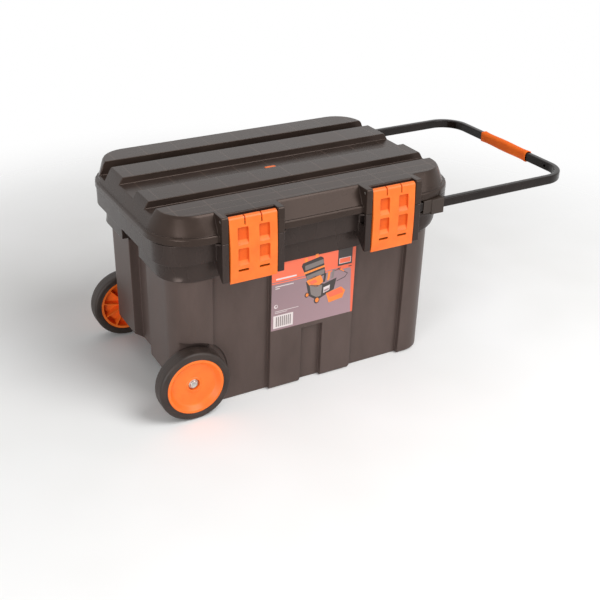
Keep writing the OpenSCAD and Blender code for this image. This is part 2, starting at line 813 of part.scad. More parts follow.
module lid() {
    boss_l = lid_top - recess_d - rack_z - rack_t;
    color(graphite) difference() {
        union() {
            difference() {
                union() {
                    lid_outer();
                    for (s = [-1, 1]) lid_latch_seat(s * latch_x);
                    for (s = [-1, 1]) lid_knuckle(s * hinge_x);
                }
                difference() {
                    union() {
                        lid_room();
                        for (s = [-1, 1])
                            translate([s * latch_x - bar_in + 2, shelf_y + wall, seam_z + skirt_h + 4])
                                cube([2 * bar_in - 4, rim_y, lid_h - skirt_h - 4 - wall]);
                    }
                    along_x(-rim_x, rim_x) groove_profile(wall);
                }
            }
            lid_ribs();
            for (s = [-1, 1]) translate([s * rack_screw_x, rack_y, rack_z + rack_t])
                cylinder(h = boss_l, r = rack_boss_r);
        }
        along_x(-rim_x, rim_x) groove_profile(0);
        edge_channel();
        for (s = [-1, 1]) {
            rod_x(s * latch_x - bar_in - bar_w - 1, s * latch_x + bar_in + bar_w + 1, pivot_y, pivot_z,
                  latch_pin_d / 2 + press_gap);
            rod_x(s * hinge_x - knuckle_l, s * hinge_x + knuckle_l, hinge_y, hinge_z,
                  hinge_pin_d / 2 + run_gap);
            translate([s * rack_screw_x, rack_y, rack_z - 1])
                cylinder(h = rack_t + 9, r = rack_screw_r + press_gap);
        }
    }
}

// Small plain badge in the wide recess of the lid
module lid_badge() {
    color(orange) translate([-2, 0, lid_top - recess_d + 0.02]) linear_extrude(badge[2])
        round_rect(badge[0], badge[1], 2);
}

module latch_pin(x) {
    rod_x(x - bar_in - bar_w, x + bar_in + bar_w, pivot_y, pivot_z, latch_pin_d / 2);
}

module latch_pin_left() {
    color(steel) latch_pin(-latch_x);
}

module latch_pin_right() {
    color(steel) latch_pin(latch_x);
}

// Tool rack under the lid, with a row of slots
module tool_rack() {
    color(orange) translate([0, rack_y, rack_z]) difference() {
        linear_extrude(rack_t) round_rect(rack_l, rack_w, 8);
        for (i = [0 : rack_slots - 1]) translate([(i - (rack_slots - 1) / 2) * rack_pitch, 0, -1])
            linear_extrude(rack_t + 2) round_rect(rack_slot[0], rack_slot[1], 4);
        for (s = [-1, 1]) translate([s * rack_screw_x, 0, -1])
            cylinder(h = rack_t + 2, r = rack_screw_r + press_gap);
    }
}

module rack_screws() {
    color(steel) for (s = [-1, 1]) translate([s * rack_screw_x, rack_y, rack_z]) {
        translate([0, 0, -1]) cylinder(h = rack_t + 8, r = rack_screw_r);
        translate([0, 0, -2.2]) cylinder(h = 2.17, r1 = 2.8, r2 = 3.6);
    }
}

// Outer face of the latch plate at height z: it leans out and bows between pivot and lower edge
function plate_face(z) = plate_y - plate_lean * (pivot_z - z) / latch_l
                         - latch_bow * sin(180 * (pivot_z - z) / latch_l);

// Heights from z1 down to z0 at which the bowed plate has a corner
function plate_steps(z1, z0) = [for (i = [0 : 8]) z1 + (z0 - z1) * i / 8];

// Side view of the plate, rolled over at the top
module latch_side() {
    foot = pivot_z - latch_l;
    face = plate_steps(pivot_z, foot + 3);
    polygon(concat(
        [for (z = face) [plate_face(z), z]],
        [[plate_face(foot) + 1.2, foot], [plate_face(foot) + latch_t, foot]],
        [for (i = [8 : -1 : 0]) [plate_face(face[i]) + latch_t, face[i]]],
        [[pivot_y, pivot_z], [pivot_y, pivot_z + barrel_r - 1], [plate_y + 2.4, pivot_z + barrel_r - 1],
         [plate_y + 0.6, pivot_z + 2.6]]));
}

// Side view of the two pockets of a column, grown by g for their backs
module pocket_profile(g) {
    proud = g > 0 ? 0 : 3;
    for (k = [0, 1]) {
        zt = pocket_top - k * pocket_pitch;
        zb = zt - pocket_h;
        polygon([[plate_face(zt) - proud, zt + g], [plate_face(zt) + pocket_d + g, zt + g],
                 [plate_face(zb + pocket_lip) + pocket_d + g, zb + pocket_lip],
                 [plate_face(zb) + 0.4 + g, zb - g], [plate_face(zb) - proud, zb - g]]);
    }
}

// Latch: a barrel on the pin, the plate with four pockets, side walls, and a bead over the catch
module latch_shape() {
    w = latch_w / 2;
    foot = pivot_z - latch_l;
    wall_y = -rim_y - 2.2;
    bead_y = -rim_y + 6.9;
    difference() {
        union() {
            along_x(-w, w) latch_side();
            for (s = [-1, 1]) translate([s * (w - 1), 0, 0]) along_x(-1, 1)
                polygon(concat(
                    [for (z = plate_steps(pivot_z - 6, foot + 1)) [plate_face(z) + 1, z]],
                    [[plate_face(foot) + 7, foot + 6], [wall_y, foot + 20], [wall_y, pivot_z - 6]]));
            for (s = [-1, 1]) along_x(s * pocket_x - pocket_w / 2 - 1.5, s * pocket_x + pocket_w / 2 + 1.5)
                pocket_profile(1.4);
            rod_x(-w, w, pivot_y, pivot_z, barrel_r);
            along_x(-w + 14, w - 14)
                polygon([[plate_face(catch_z - 16) + 1, catch_z - 16], [bead_y, catch_z - 8],
                         [bead_y, catch_z - 3], [plate_face(catch_z - 3) + 1, catch_z - 3]]);
        }
        for (s = [-1, 1]) {
            along_x(s * pocket_x - pocket_w / 2, s * pocket_x + pocket_w / 2) pocket_profile(0);
            translate([s * pocket_x - pocket_w / 2, plate_y - 8, pocket_top - 2 * pocket_pitch - 5.3])
                cube([pocket_w, latch_t + 9, slot_h]);
            translate([s * slit_x - slit_w / 2, plate_y - 1, pivot_z + barrel_r - slit_l])
                cube([slit_w, 2 * barrel_r + 6, slit_l + 1]);
        }
        rod_x(-w - 1, w + 1, pivot_y, pivot_z, latch_pin_d / 2 + run_gap);
    }
}

module latch_left() {
    color(orange) translate([-latch_x, 0, 0]) latch_shape();
}

module latch_right() {
    color(orange) translate([latch_x, 0, 0]) latch_shape();
}

// Plan of one edge of the U handle: arms from x0, bends of radius r, end at x1
module handle_plan(x0, x1, y, r) {
    translate([x0, -y]) square([x1 - r - x0, 2 * y]);
    translate([x0, r - y]) square([x1 - x0, 2 * (y - r)]);
    for (s = [-1, 1]) translate([x1 - r, s * (y - r)]) circle(r);
}

// U handle as a bar of thickness t and height h on the tube's centre line
module handle_path(t, h, x0) {
    r = bend_r - tube_t / 2;
    xb = handle_x - tube_t / 2;
    translate([0, 0, tube_z - h / 2]) linear_extrude(h) difference() {
        handle_plan(x0, xb + t / 2, arm_y + t / 2, r + t / 2);
        handle_plan(x0 - 1, xb - t / 2, arm_y - t / 2, r - t / 2);
    }
}

module handle_tube() {
    color(black) difference() {
        handle_path(tube_t, tube_h, stop_x - seat_gap);
        handle_path(tube_t - 2 * tube_wall, tube_h - 2 * tube_wall, stop_x - seat_gap - 1);
        translate([handle_x - tube_t - 1, -arm_y + bend_r + 5, tube_z]) rotate([0, 90, 0])
            cylinder(h = tube_wall + 2, r = 3);
    }
}

// Grip sleeve over the end bar
module handle_grip() {
    t = tube_t + 2 * grip_t;
    h = tube_h + 2 * grip_t;
    color(orange) translate([handle_x - tube_t / 2, grip_l / 2, tube_z]) rotate([90, 0, 0])
        difference() {
            linear_extrude(grip_l) round_rect(t, h, 5);
            translate([0, 0, -1]) linear_extrude(grip_l + 2)
                square([tube_t + 2 * press_gap, tube_h + 2 * press_gap], center = true);
        }
}

// Plug in the inner end of each arm; its lip stops the handle at the bracket
module plug() {
    translate([stop_x - seat_gap - plug_l, -arm_y - tube_t / 2 - plug_lip, tube_z - tube_h / 2 - plug_lip])
        cube([plug_l - 0.02, tube_t + 2 * plug_lip, tube_h + 2 * plug_lip]);
    translate([stop_x - seat_gap - 1, -arm_y - tube_t / 2 + tube_wall + press_gap,
               tube_z - tube_h / 2 + tube_wall + press_gap])
        cube([16, tube_t - 2 * tube_wall - 2 * press_gap, tube_h - 2 * tube_wall - 2 * press_gap]);
}

module handle_plug_front() {
    color(black) plug();
}

module handle_plug_rear() {
    color(black) mirror([0, 1, 0]) plug();
}

tub();
label();
axle();
axle_cap_front();
axle_cap_rear();
handle_guide_front();
handle_guide_rear();
guide_screws();
hinge_pin_left();
hinge_pin_right();
tray();
tray_handle();
tyre_front();
hub_front();
tyre_rear();
hub_rear();
lid();
lid_badge();
latch_pin_left();
latch_pin_right();
tool_rack();
rack_screws();
latch_left();
latch_right();
handle_tube();
handle_grip();
handle_plug_front();
handle_plug_rear();
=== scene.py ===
"""Dresses the wheeled tool chest that the CAD frame describes.

The frame gives every rigid piece at its real size. This script adds what the moulded and bent
pieces look like: rounded edges, pressed tube, turned wheels, dished latches, a printed film, and a
finish for each material.
"""

import logging
import math
from collections.abc import Iterable, Sequence
from dataclasses import dataclass
from enum import Enum

import bmesh
import bpy
from mathutils import Matrix, Vector

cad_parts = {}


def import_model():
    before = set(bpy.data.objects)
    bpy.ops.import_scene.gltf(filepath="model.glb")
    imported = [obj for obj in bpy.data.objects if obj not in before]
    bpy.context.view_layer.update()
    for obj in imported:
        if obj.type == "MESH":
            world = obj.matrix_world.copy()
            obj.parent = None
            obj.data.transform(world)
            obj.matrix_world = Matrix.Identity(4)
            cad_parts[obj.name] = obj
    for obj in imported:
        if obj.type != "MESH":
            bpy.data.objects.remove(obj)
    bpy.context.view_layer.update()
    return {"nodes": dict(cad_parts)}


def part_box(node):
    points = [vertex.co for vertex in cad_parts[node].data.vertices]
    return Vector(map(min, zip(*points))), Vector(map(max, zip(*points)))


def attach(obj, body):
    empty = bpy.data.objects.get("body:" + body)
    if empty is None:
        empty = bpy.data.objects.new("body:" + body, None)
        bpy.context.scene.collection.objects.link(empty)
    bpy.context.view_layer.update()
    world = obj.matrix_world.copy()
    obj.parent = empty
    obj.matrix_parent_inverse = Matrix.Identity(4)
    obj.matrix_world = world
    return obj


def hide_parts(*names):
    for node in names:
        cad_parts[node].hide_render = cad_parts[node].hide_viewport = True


log = logging.getLogger("tool_chest")

MM = 0.001
Point2 = tuple[float, float]
Point3 = tuple[float, float, float]
Face = tuple[int, ...]
Piece = bpy.types.Object
Material = bpy.types.Material
Socket = bpy.types.NodeSocket
Node = bpy.types.Node


def to_linear(hex_colour: str) -> tuple[float, float, float, float]:
    """Converts a written sRGB colour to the linear values a shader takes.

    Args:
        hex_colour: Six hex digits.

    Returns:
        Linear red, green, blue and an alpha of 1.
    """
    channels = [int(hex_colour[i : i + 2], 16) / 255 for i in (0, 2, 4)]
    linear = [c / 12.92 if c <= 0.04045 else ((c + 0.055) / 1.055) ** 2.4 for c in channels]
    return (linear[0], linear[1], linear[2], 1.0)


# Finishes.


class Slot(Enum):
    """Material slots that the record names."""

    TUB = "tub_plastic"
    LID = "lid_plastic"
    TRIM = "trim_plastic"
    ORANGE = "orange_plastic"
    RUBBER = "tyre_rubber"
    TUBE = "painted_tube"
    STEEL = "zinc_steel"
    FILM = "label_film"


@dataclass(frozen=True)
class Finish:
    """How one real material looks up close.

    Attributes:
        name: Name of the material in the scene.
        low: Darker of its two colours.
        high: Lighter of its two colours.
        rough: Lowest and highest roughness.
        mottle_mm: Size of the broad patches of tone.
        grain_mm: Size of the fine grain.
        grain_depth: Height of the grain in millimetres.
        metallic: 1 for bare metal.
        coat: Weight of a clear coat.
        specular: Specular level of the base.
        tint: Colour of what it mirrors when seen square on.
        streak: How much the patches stretch along X, Y and Z.
        line_pitch_mm: Pitch along X of the sink lines over ribs below, or 0 for none.
        line_places_mm: Places on Y of the sink lines that run along X.
        line_sheen_gain: How much paler the sink lines are painted than the rest, as a painted sheen.
        polish_and_shade_above_mm: Height above which the mould was polished and shade is painted, or 0 for
            none.
        rim_shade_tone: How dark the painted shade under the rim makes the skin beside the rest.
    """

    name: str
    low: str
    high: str
    rough: tuple[float, float]
    mottle_mm: float
    grain_mm: float
    grain_depth: float
    metallic: float = 0.0
    coat: float = 0.0
    specular: float = 0.5
    tint: str = "ffffff"
    streak: Point3 = (1.0, 1.0, 1.0)
    line_pitch_mm: float = 0.0
    line_places_mm: tuple[float, ...] = ()
    line_sheen_gain: float = 0.0
    polish_and_shade_above_mm: float = 0.0
    rim_shade_tone: float = 1.0


@dataclass(frozen=True)
class Ink:
    """One ink of the printed film: its colour at the near upper corner and at the far lower one, between
    which light and shade are painted.
    """

    name: str
    near: str
    far: str


# Polypropylene tub, warm graphite: the walls have a fine sparked grain that scatters light and looks
# paler, with faint vertical flow; the two bands under the rim are polished and painted almost black as shade.
TUB_FINISH = Finish(
    "moulded_graphite_tub", "483d39", "574a46", (0.34, 0.44), 70, 0.9, 0.030, specular=0.34,
    tint="ffe8de", streak=(1.0, 1.0, 0.35), polish_and_shade_above_mm=272.0, rim_shade_tone=0.34,
)
# The lid's polypropylene is polished: almost black where nothing bright is mirrored, with a sheen on
# the coves and rims, and sink lines where ribs below drew the skin in, painted paler as a painted sheen.
# Real ones are hair-thin; they are drawn 1.5 mm wide so that they show.
LID_FINISH = Finish(
    "moulded_graphite_lid", "28201c", "352b26", (0.24, 0.32), 55, 1.1, 0.032, specular=0.29,
    tint="ffe4d8", streak=(0.5, 1.0, 1.0), line_pitch_mm=66.0, line_places_mm=(-146.0, -172.0),
    line_sheen_gain=1.4,
)
# Small trims come from another tool and look a little darker and smoother.
TRIM_FINISH = Finish(
    "moulded_graphite_trim", "30261f", "3b302a", (0.34, 0.46), 25, 0.7, 0.020, specular=0.35
)
# Orange polypropylene of the latches, hubs, tray and rack: a satin skin with soft highlights.
ORANGE_FINISH = Finish("moulded_orange", "f06b1c", "f77927", (0.36, 0.48), 30, 0.8, 0.020, specular=0.45)
# Floors and upper walls of the latch pockets, eroded to a coarser matt grain, with a deeper orange painted as
# shade.
POCKET_SHADE_FINISH = Finish("pocket_shade_orange", "d9550f", "e66118", (0.52, 0.62), 20, 0.9, 0.040, specular=0.3)
# The grip is a softer orange rubber, duller and finer in grain than the moulded pieces.
GRIP_FINISH = Finish("soft_grip_orange", "ec6318", "f57221", (0.58, 0.70), 18, 0.6, 0.030, specular=0.2)
# Soft black rubber tyre with a dusty, uneven tone and a waxy edge highlight.
RUBBER_FINISH = Finish(
    "tyre_rubber_black", "2c2420", "3a2f2a", (0.42, 0.54), 22, 1.4, 0.040, specular=0.35
)
# Steel tube in glossy black powder coat, whose orange-peel texture breaks up a strong highlight.
TUBE_FINISH = Finish(
    "powder_coated_tube", "17110e", "211916", (0.14, 0.22), 40, 2.2, 0.010, coat=0.08, specular=0.2
)
# Zinc-plated steel of the axle, pins and screws: bright, slightly blue-grey and brushed by handling.
STEEL_FINISH = Finish("zinc_plated_steel", "b9b8b4", "d6d5d0", (0.24, 0.38), 6, 0.6, 0.004, metallic=1.0)

SLOT_FINISHES = {
    Slot.TUB: TUB_FINISH,
    Slot.LID: LID_FINISH,
    Slot.TRIM: TRIM_FINISH,
    Slot.ORANGE: ORANGE_FINISH,
    Slot.RUBBER: RUBBER_FINISH,
    Slot.TUBE: TUBE_FINISH,
    Slot.STEEL: STEEL_FINISH,
}

# Screen inks of the film under a thin matt varnish; each ink's two colours paint light and shade across the
# film.
CORAL_INK = Ink("film_ink_coral", "f06d4b", "e66443")
MAUVE_INK = Ink("film_ink_mauve", "877074", "a08288")
PALE_INK = Ink("film_ink_pale", "dcd2d0", "d2c6c5")
DARK_INK = Ink("film_ink_dark", "2c2524", "3c3431")
GREY_INK = Ink("film_ink_grey", "6c625f", "8a807d")
AMBER_INK = Ink("film_ink_amber", "f48a35", "ee7c2b")


NOISE_SPAN = (0.3, 0.7)  # Values of a noise texture seldom lie outside it.


class NodeBuilder:
    """Adds nodes to a tree and links them."""

    def __init__(self, tree: bpy.types.NodeTree) -> None:
        """Takes the tree that grows."""
        self.tree = tree

    def feed(self, socket: Socket, value: object) -> None:
        """Links an input or sets it.

        Args:
            socket: The input.
            value: An output, a node whose first output is meant, or a plain value.
        """
        source = value.outputs[0] if isinstance(value, Node) else value
        if isinstance(source, Socket):
            self.tree.links.new(source, socket)
        else:
            socket.default_value = source

    def add(self, kind: str, inputs: dict | Sequence = (), **settings: object) -> Node:
        """Adds a node with its settings and links.

        Args:
            kind: Node type identifier.
            inputs: Values of the inputs by name or number, or in order.
            settings: Attributes of the node.

        Returns:
            The new node.
        """
        node = self.tree.nodes.new(kind)
        for key, value in settings.items():
            setattr(node, key, value)
        for key, value in inputs.items() if isinstance(inputs, dict) else enumerate(inputs):
            self.feed(node.inputs[key], value)
        return node


class ShaderTree(NodeBuilder):
    """Node tree of a material or world."""

    def __init__(self, owner: Material | bpy.types.World) -> None:
        """Starts an empty tree.

        Args:
            owner: Whose tree it is.
        """
        owner.use_nodes = True
        owner.node_tree.nodes.clear()
        super().__init__(owner.node_tree)

    def between(self, share: Node, low: str, high: str) -> Node:
        """Blends two written colours.

        Args:
            share: 0 for the first colour, 1 for the second.
            low: The first colour.
            high: The second colour.

        Returns:
            Node that gives the blend.
        """
        first, second = (Vector(to_linear(colour)[:3]) for colour in (low, high))
        return self.add("ShaderNodeVectorMath", (share, second - first, first), operation="MULTIPLY_ADD")


class ShapeTree(NodeBuilder):
    """Geometry node tree with named sizes, which shapes an object and leaves a plain mesh."""

    def __init__(self, name: str) -> None:
        """Starts a tree that takes a shape in and gives one out.

        Args:
            name: Name of the tree and of its modifier.
        """
        super().__init__(bpy.data.node_groups.new(name, "GeometryNodeTree"))
        for way in ("INPUT", "OUTPUT"):
            self.tree.interface.new_socket("Geometry", in_out=way, socket_type="NodeSocketGeometry")
        self.source = self.add("NodeGroupInput")
        self.sink = self.add("NodeGroupOutput")
        self.values: dict[str, object] = {}

    @property
    def shape(self) -> Socket:
        """Geometry of the object that the tree is put on."""
        return self.source.outputs["Geometry"]

    def size(self, name: str, value: float | int | Sequence[float]) -> Socket:
        """Adds a named input and keeps the value that the object gets.

        Args:
            name: Name of the input.
            value: A whole number, a number or a vector.

        Returns:
            The socket that carries it in the tree.
        """
        kind = {int: "NodeSocketInt", float: "NodeSocketFloat"}.get(type(value), "NodeSocketVector")
        item = self.tree.interface.new_socket(name, in_out="INPUT", socket_type=kind)
        self.values[item.identifier] = value
        return self.source.outputs[name]

    def put_on(self, piece: Piece, geometry: Node) -> None:
        """Ends the tree and puts it on an object as a modifier, its inputs set by identifier.

        Args:
            piece: The object.
            geometry: Last node of the tree.
        """
        self.feed(self.sink.inputs[0], geometry)
        modifier = piece.modifiers.new(self.tree.name, "NODES")
        modifier.node_group = self.tree
        for identifier, value in self.values.items():
            modifier[identifier] = value

    def bake(self, piece: Piece, geometry: Node, material: Material) -> Piece:
        """Ends the tree in real copies and a material, and turns the object into a plain mesh.

        Args:
            piece: Object whose shape goes in; it is deleted.
            geometry: Last node of the tree.
            material: Material of the whole result.

        Returns:
            A new mesh object with no modifiers.
        """
        real = self.add("GeometryNodeRealizeInstances", (geometry,))
        self.put_on(piece, self.add("GeometryNodeSetMaterial", {"Geometry": real, "Material": material}))
        return plain_mesh(piece)


class MaterialLibrary:
    """Builds each material once and hands it out by record slot."""

    COAT_ROUGH = 0.22
    SPECKLE = (0.93, 1.05)  # Darkest and palest the grain makes the colour.
    POLISH = 0.12  # What polish takes off the roughness.
    # The polish and the painted shade set in over the same height.
    POLISH_BLEND = 1.5  # Half the height over which it sets in, in millimetres.
    SINK_DEPTH = -2.5  # Depth of a sink line in heights of the grain.
    UPWARD = 0.9  # Height of the normal of a face that looks up.
    DOTS = 0.12  # How far the print's dots spread its tone.
    SINK_EDGE = (0.45, 1.3)  # Where a sink line starts to fade and where it ends, in millimetres.

    def __init__(self) -> None:
        """Starts with no material."""
        self._made: dict[str, Material] = {}

    def plain(self, finish: Finish) -> Material:
        """Makes a procedural material from a finish.

        Args:
            finish: Look of the material.

        Returns:
            The material, shared by all that ask for it.
        """
        if finish.name in self._made:
            return self._made[finish.name]
        material = self._made[finish.name] = bpy.data.materials.new(finish.name)
        nodes = ShaderTree(material)
        place = nodes.add("ShaderNodeTexCoord").outputs["Object"]
        stretch = [s / MM for s in finish.streak]
        stretched = nodes.add("ShaderNodeMapping", {"Vector": place, "Scale": stretch})
        even = nodes.add("ShaderNodeMapping", {"Vector": place, "Scale": [1 / MM] * 3})
        mottle = nodes.add(
            "ShaderNodeTexNoise",
            {"Vector": stretched, "Scale": 1 / finish.mottle_mm, "Detail": 4.0, "Roughness": 0.6},
        )
        grain = nodes.add(
            "ShaderNodeTexNoise",
            {"Vector": even, "Scale": 1 / finish.grain_mm, "Detail": 2.0, "Roughness": 0.55},
        )
        share = nodes.add("ShaderNodeMapRange", (mottle, *NOISE_SPAN))
        colour = nodes.between(share, finish.low, finish.high)
        speckle = nodes.add("ShaderNodeMapRange", (grain, *NOISE_SPAN, *self.SPECKLE))
        height = grain
        # Sink lines: a real dip in the bump, and a paler colour that paints their sheen.
        if finish.line_pitch_mm:
            lines = self._sink_lines(nodes, even, finish)
            gain, sink = (lines, finish.line_sheen_gain, speckle), (lines, self.SINK_DEPTH, grain)
            speckle = nodes.add("ShaderNodeMath", gain, operation="MULTIPLY_ADD")
            height = nodes.add("ShaderNodeMath", sink, operation="MULTIPLY_ADD")
        colour = nodes.add("ShaderNodeVectorMath", (colour, speckle), operation="MULTIPLY")
        rough = nodes.add("ShaderNodeMapRange", (mottle, *NOISE_SPAN, *finish.rough))
        # Above a height the colour is painted darker as the shade under the rim, and polish lowers the
        # roughness.
        if finish.polish_and_shade_above_mm:
            tone, smoother = self._polish_and_rim_shade(nodes, even, finish)
            colour = nodes.add("ShaderNodeVectorMath", (colour, tone), operation="MULTIPLY")
            rough = nodes.add("ShaderNodeMath", (rough, smoother), operation="SUBTRACT")
        depth = finish.grain_depth * MM
        bump = nodes.add("ShaderNodeBump", {"Height": height, "Strength": 1.0, "Distance": depth})
        shader = nodes.add(
            "ShaderNodeBsdfPrincipled",
            {
                "Base Color": colour,
                "Roughness": rough,
                "Normal": bump,
                "Metallic": finish.metallic,
                "Specular IOR Level": finish.specular,
                "Specular Tint": to_linear(finish.tint),
                "Coat Weight": finish.coat,
                "Coat Roughness": self.COAT_ROUGH,
            },
        )
        nodes.add("ShaderNodeOutputMaterial", {"Surface": shader})
        return material

    def _polish_and_rim_shade(self, nodes: ShaderTree, place_mm: Node, finish: Finish) -> tuple[Node, Node]:
        """Painted shade and lower roughness of a skin that is polished above a height.

        Args:
            nodes: Tree of the material.
            place_mm: Position on the object in millimetres.
            finish: Gives the height and the tone of the painted shade.

        Returns:
            Factor on the colour that paints the shade, and what comes off the roughness.
        """
        height = nodes.add("ShaderNodeSeparateXYZ", (place_mm,)).outputs[2]
        start = finish.polish_and_shade_above_mm - self.POLISH_BLEND
        end = finish.polish_and_shade_above_mm + self.POLISH_BLEND
        # Painted shade: the colour darkens above the height.
        tone = nodes.add("ShaderNodeMapRange", (height, start, end, 1.0, finish.rim_shade_tone))
        return tone, nodes.add("ShaderNodeMapRange", (height, start, end, 0.0, self.POLISH))

    @staticmethod
    def _sink_lines(nodes: ShaderTree, place_mm: Node, finish: Finish) -> Node:
        """Value of 1 on the thin sink lines over the ribs below the top face, 0 elsewhere.

        Args:
            nodes: Tree of the material.
            place_mm: Position on the object in millimetres.
            finish: Gives the pitch of the lines across X and the places of those along it.

        Returns:
            The value, kept to faces that look up.
        """
        x, y, _ = nodes.add("ShaderNodeSeparateXYZ", (place_mm,)).outputs
        half = finish.line_pitch_mm / 2
        off = nodes.add("ShaderNodeMath", (x, half), operation="PINGPONG")
        for line_y in finish.line_places_mm:
            shifted = nodes.add("ShaderNodeMath", (y, line_y), operation="SUBTRACT")
            off_y = nodes.add("ShaderNodeMath", (shifted,), operation="ABSOLUTE")
            off = nodes.add("ShaderNodeMath", (off, off_y), operation="MINIMUM")
        fade = (off, *MaterialLibrary.SINK_EDGE, 1.0, 0.0)
        value = nodes.add("ShaderNodeMapRange", fade, interpolation_type="SMOOTHSTEP")
        facing = nodes.add("ShaderNodeNewGeometry").outputs["Normal"]
        up = nodes.add("ShaderNodeSeparateXYZ", (facing,)).outputs[2]
        upward = nodes.add("ShaderNodeMath", (up, MaterialLibrary.UPWARD), operation="GREATER_THAN")
        return nodes.add("ShaderNodeMath", (value, upward), operation="MULTIPLY")

    def film(self, ink: Ink, low: Vector, high: Vector) -> Material:
        """Printed film whose ink is painted lighter or darker towards the far lower corner, as light and
        shade.

        Args:
            ink: Ink of this part of the print.
            low: Lowest corner of the film, in metres.
            high: Highest corner of the film, in metres.

        Returns:
            The material of that ink.
        """
        if ink.name in self._made:
            return self._made[ink.name]
        material = self._made[ink.name] = bpy.data.materials.new(ink.name)
        nodes = ShaderTree(material)
        place = nodes.add("ShaderNodeTexCoord").outputs["Object"]
        x, _, z = nodes.add("ShaderNodeSeparateXYZ", (place,)).outputs
        # Painted light and shade: the ink blends from its near colour to its far colour across the film.
        across = nodes.add("ShaderNodeMapRange", (x, low.x, high.x, 0.0, 0.5), clamp=False)
        down = nodes.add("ShaderNodeMapRange", (z, high.z, low.z, 0.0, 0.5), clamp=False)
        shade = nodes.add("ShaderNodeMath", (across, down), operation="ADD")
        mm = nodes.add("ShaderNodeMapping", {"Vector": place, "Scale": [1 / MM] * 3})
        dots = nodes.add("ShaderNodeTexNoise", {"Vector": mm, "Scale": 1 / 0.6, "Detail": 2.0})
        spread = nodes.add("ShaderNodeMath", (dots, self.DOTS, -self.DOTS / 2), operation="MULTIPLY_ADD")
        shade = nodes.add("ShaderNodeMath", (shade, spread), operation="ADD")
        share = nodes.add("ShaderNodeMapRange", (shade, 0.05, 0.95))
        colour = nodes.between(share, ink.near, ink.far)
        wave = nodes.add("ShaderNodeTexNoise", {"Vector": mm, "Scale": 1 / 45, "Detail": 1.0})
        bump = nodes.add("ShaderNodeBump", {"Height": wave, "Strength": 0.4, "Distance": 0.5 * MM})
        gloss = {"Roughness": 0.42, "Coat Weight": 0.15, "Coat Roughness": 0.3}
        shader = nodes.add("ShaderNodeBsdfPrincipled", {"Base Color": colour, "Normal": bump, **gloss})
        nodes.add("ShaderNodeOutputMaterial", {"Surface": shader})
        return material

    def for_slot(self, slot: Slot) -> Material:
        """Material of a record slot."""
        return self.plain(SLOT_FINISHES.get(slot, TRIM_FINISH))


# Mesh tools.


def put_in_scene(name: str, data: bpy.types.ID) -> Piece:
    """Puts data into the scene as a new object."""
    piece = bpy.data.objects.new(name, data)
    bpy.context.scene.collection.objects.link(piece)
    return piece


def make_object(
    name: str, verts: Iterable[Point3], faces: Iterable[Face], smooth_angle: float = 35.0
) -> Piece:
    """Creates a mesh object at the origin and shades it smooth below an angle.

    Args:
        name: Name of the object.
        verts: Points in millimetres.
        faces: Corner indices of each face.
        smooth_angle: Edges sharper than this stay sharp, in degrees.

    Returns:
        The new object.
    """
    mesh = bpy.data.meshes.new(name)
    mesh.from_pydata([(x * MM, y * MM, z * MM) for x, y, z in verts], [], list(faces))
    mesh.validate()
    piece = put_in_scene(name, mesh)
    close_up(piece)
    shade_smooth(piece, smooth_angle)
    return piece


def shade_smooth(piece: Piece, smooth_angle: float) -> None:
    """Shades a piece smooth, and sharp across the edges past an angle in degrees."""
    piece.data.polygons.foreach_set("use_smooth", [True] * len(piece.data.polygons))
    piece.data.set_sharp_from_angle(angle=math.radians(smooth_angle))


def close_up(piece: Piece) -> None:
    """Merges doubled points, so that seams and poles close, and turns every face outwards.

    Args:
        piece: The object whose mesh is changed.
    """
    work = bmesh.new()
    work.from_mesh(piece.data)
    bmesh.ops.remove_doubles(work, verts=work.verts, dist=1e-6)
    bmesh.ops.recalc_face_normals(work, faces=work.faces)
    work.to_mesh(piece.data)
    work.free()


def plain_mesh(piece: Piece) -> Piece:
    """Replaces an object by a new one whose mesh has the modifiers applied.

    Args:
        piece: The object; it is deleted.

    Returns:
        The new object, of the same name.
    """
    depsgraph = bpy.context.evaluated_depsgraph_get()
    mesh = bpy.data.meshes.new_from_object(piece.evaluated_get(depsgraph), depsgraph=depsgraph)
    name = piece.name
    bpy.data.objects.remove(piece)
    mesh.name = name
    return put_in_scene(name, mesh)


def grid_faces(rows: int, columns: int, closed: bool = False, start: int = 0) -> list[Face]:
    """Quads that join a grid of points stored row by row.

    Args:
        rows: How many rows.
        columns: How many points in each.
        closed: Whether each row runs back to its first point.
        start: Index of the first point.

    Returns:
        The faces.
    """
    faces = []
    for r in range(rows - 1):
        for c in range(columns if closed else columns - 1):
            a, b = start + r * columns + c, start + r * columns + (c + 1) % columns
            faces.append((a, b, b + columns, a + columns))
    return faces


def rounded(points: Sequence[Point2], radii: Sequence[float], steps: int = 5) -> list[Point2]:
    """Replaces each corner of a closed outline by an arc.

    Args:
        points: Corners in order.
        radii: Radius at each corner; 0 keeps it sharp.
        steps: Faces per arc.

    Returns:
        The rounded outline.
    """
    result: list[Point2] = []
    for i, radius in enumerate(radii):
        corner = Vector(points[i])
        before = Vector(points[i - 1]) - corner
        after = Vector(points[(i + 1) % len(points)]) - corner
        if radius <= 0 or before.length < 1e-6 or after.length < 1e-6:
            result.append(tuple(corner))
            continue
        half = before.angle(after) / 2
        reach = min(radius / math.tan(half), before.length * 0.49, after.length * 0.49)
        arc = reach * math.tan(half)
        bisector = (before.normalized() + after.normalized()).normalized()
        centre = corner + bisector * (arc / math.sin(half))
        first = corner + before.normalized() * reach - centre
        last = corner + after.normalized() * reach - centre
        for k in range(steps + 1):
            t = k / steps
            result.append(tuple(centre + (first * (1 - t) + last * t).normalized() * arc))
    return result


def box(x0: float, y0: float, x1: float, y1: float) -> list[Point2]:
    """Corners of an upright rectangle, from its lower left one round."""
    return [(x0, y0), (x1, y0), (x1, y1), (x0, y1)]


def ring(radius: float, x: float, y: float, squeeze: float = 1.0, steps: int = 28) -> list[Point2]:
    """Points round a circle, squeezed across where it is seen at a slant."""
    turns = (2 * math.pi * k / steps for k in range(steps))
    return [(x + radius * math.cos(a) * squeeze, y + radius * math.sin(a)) for a in turns]


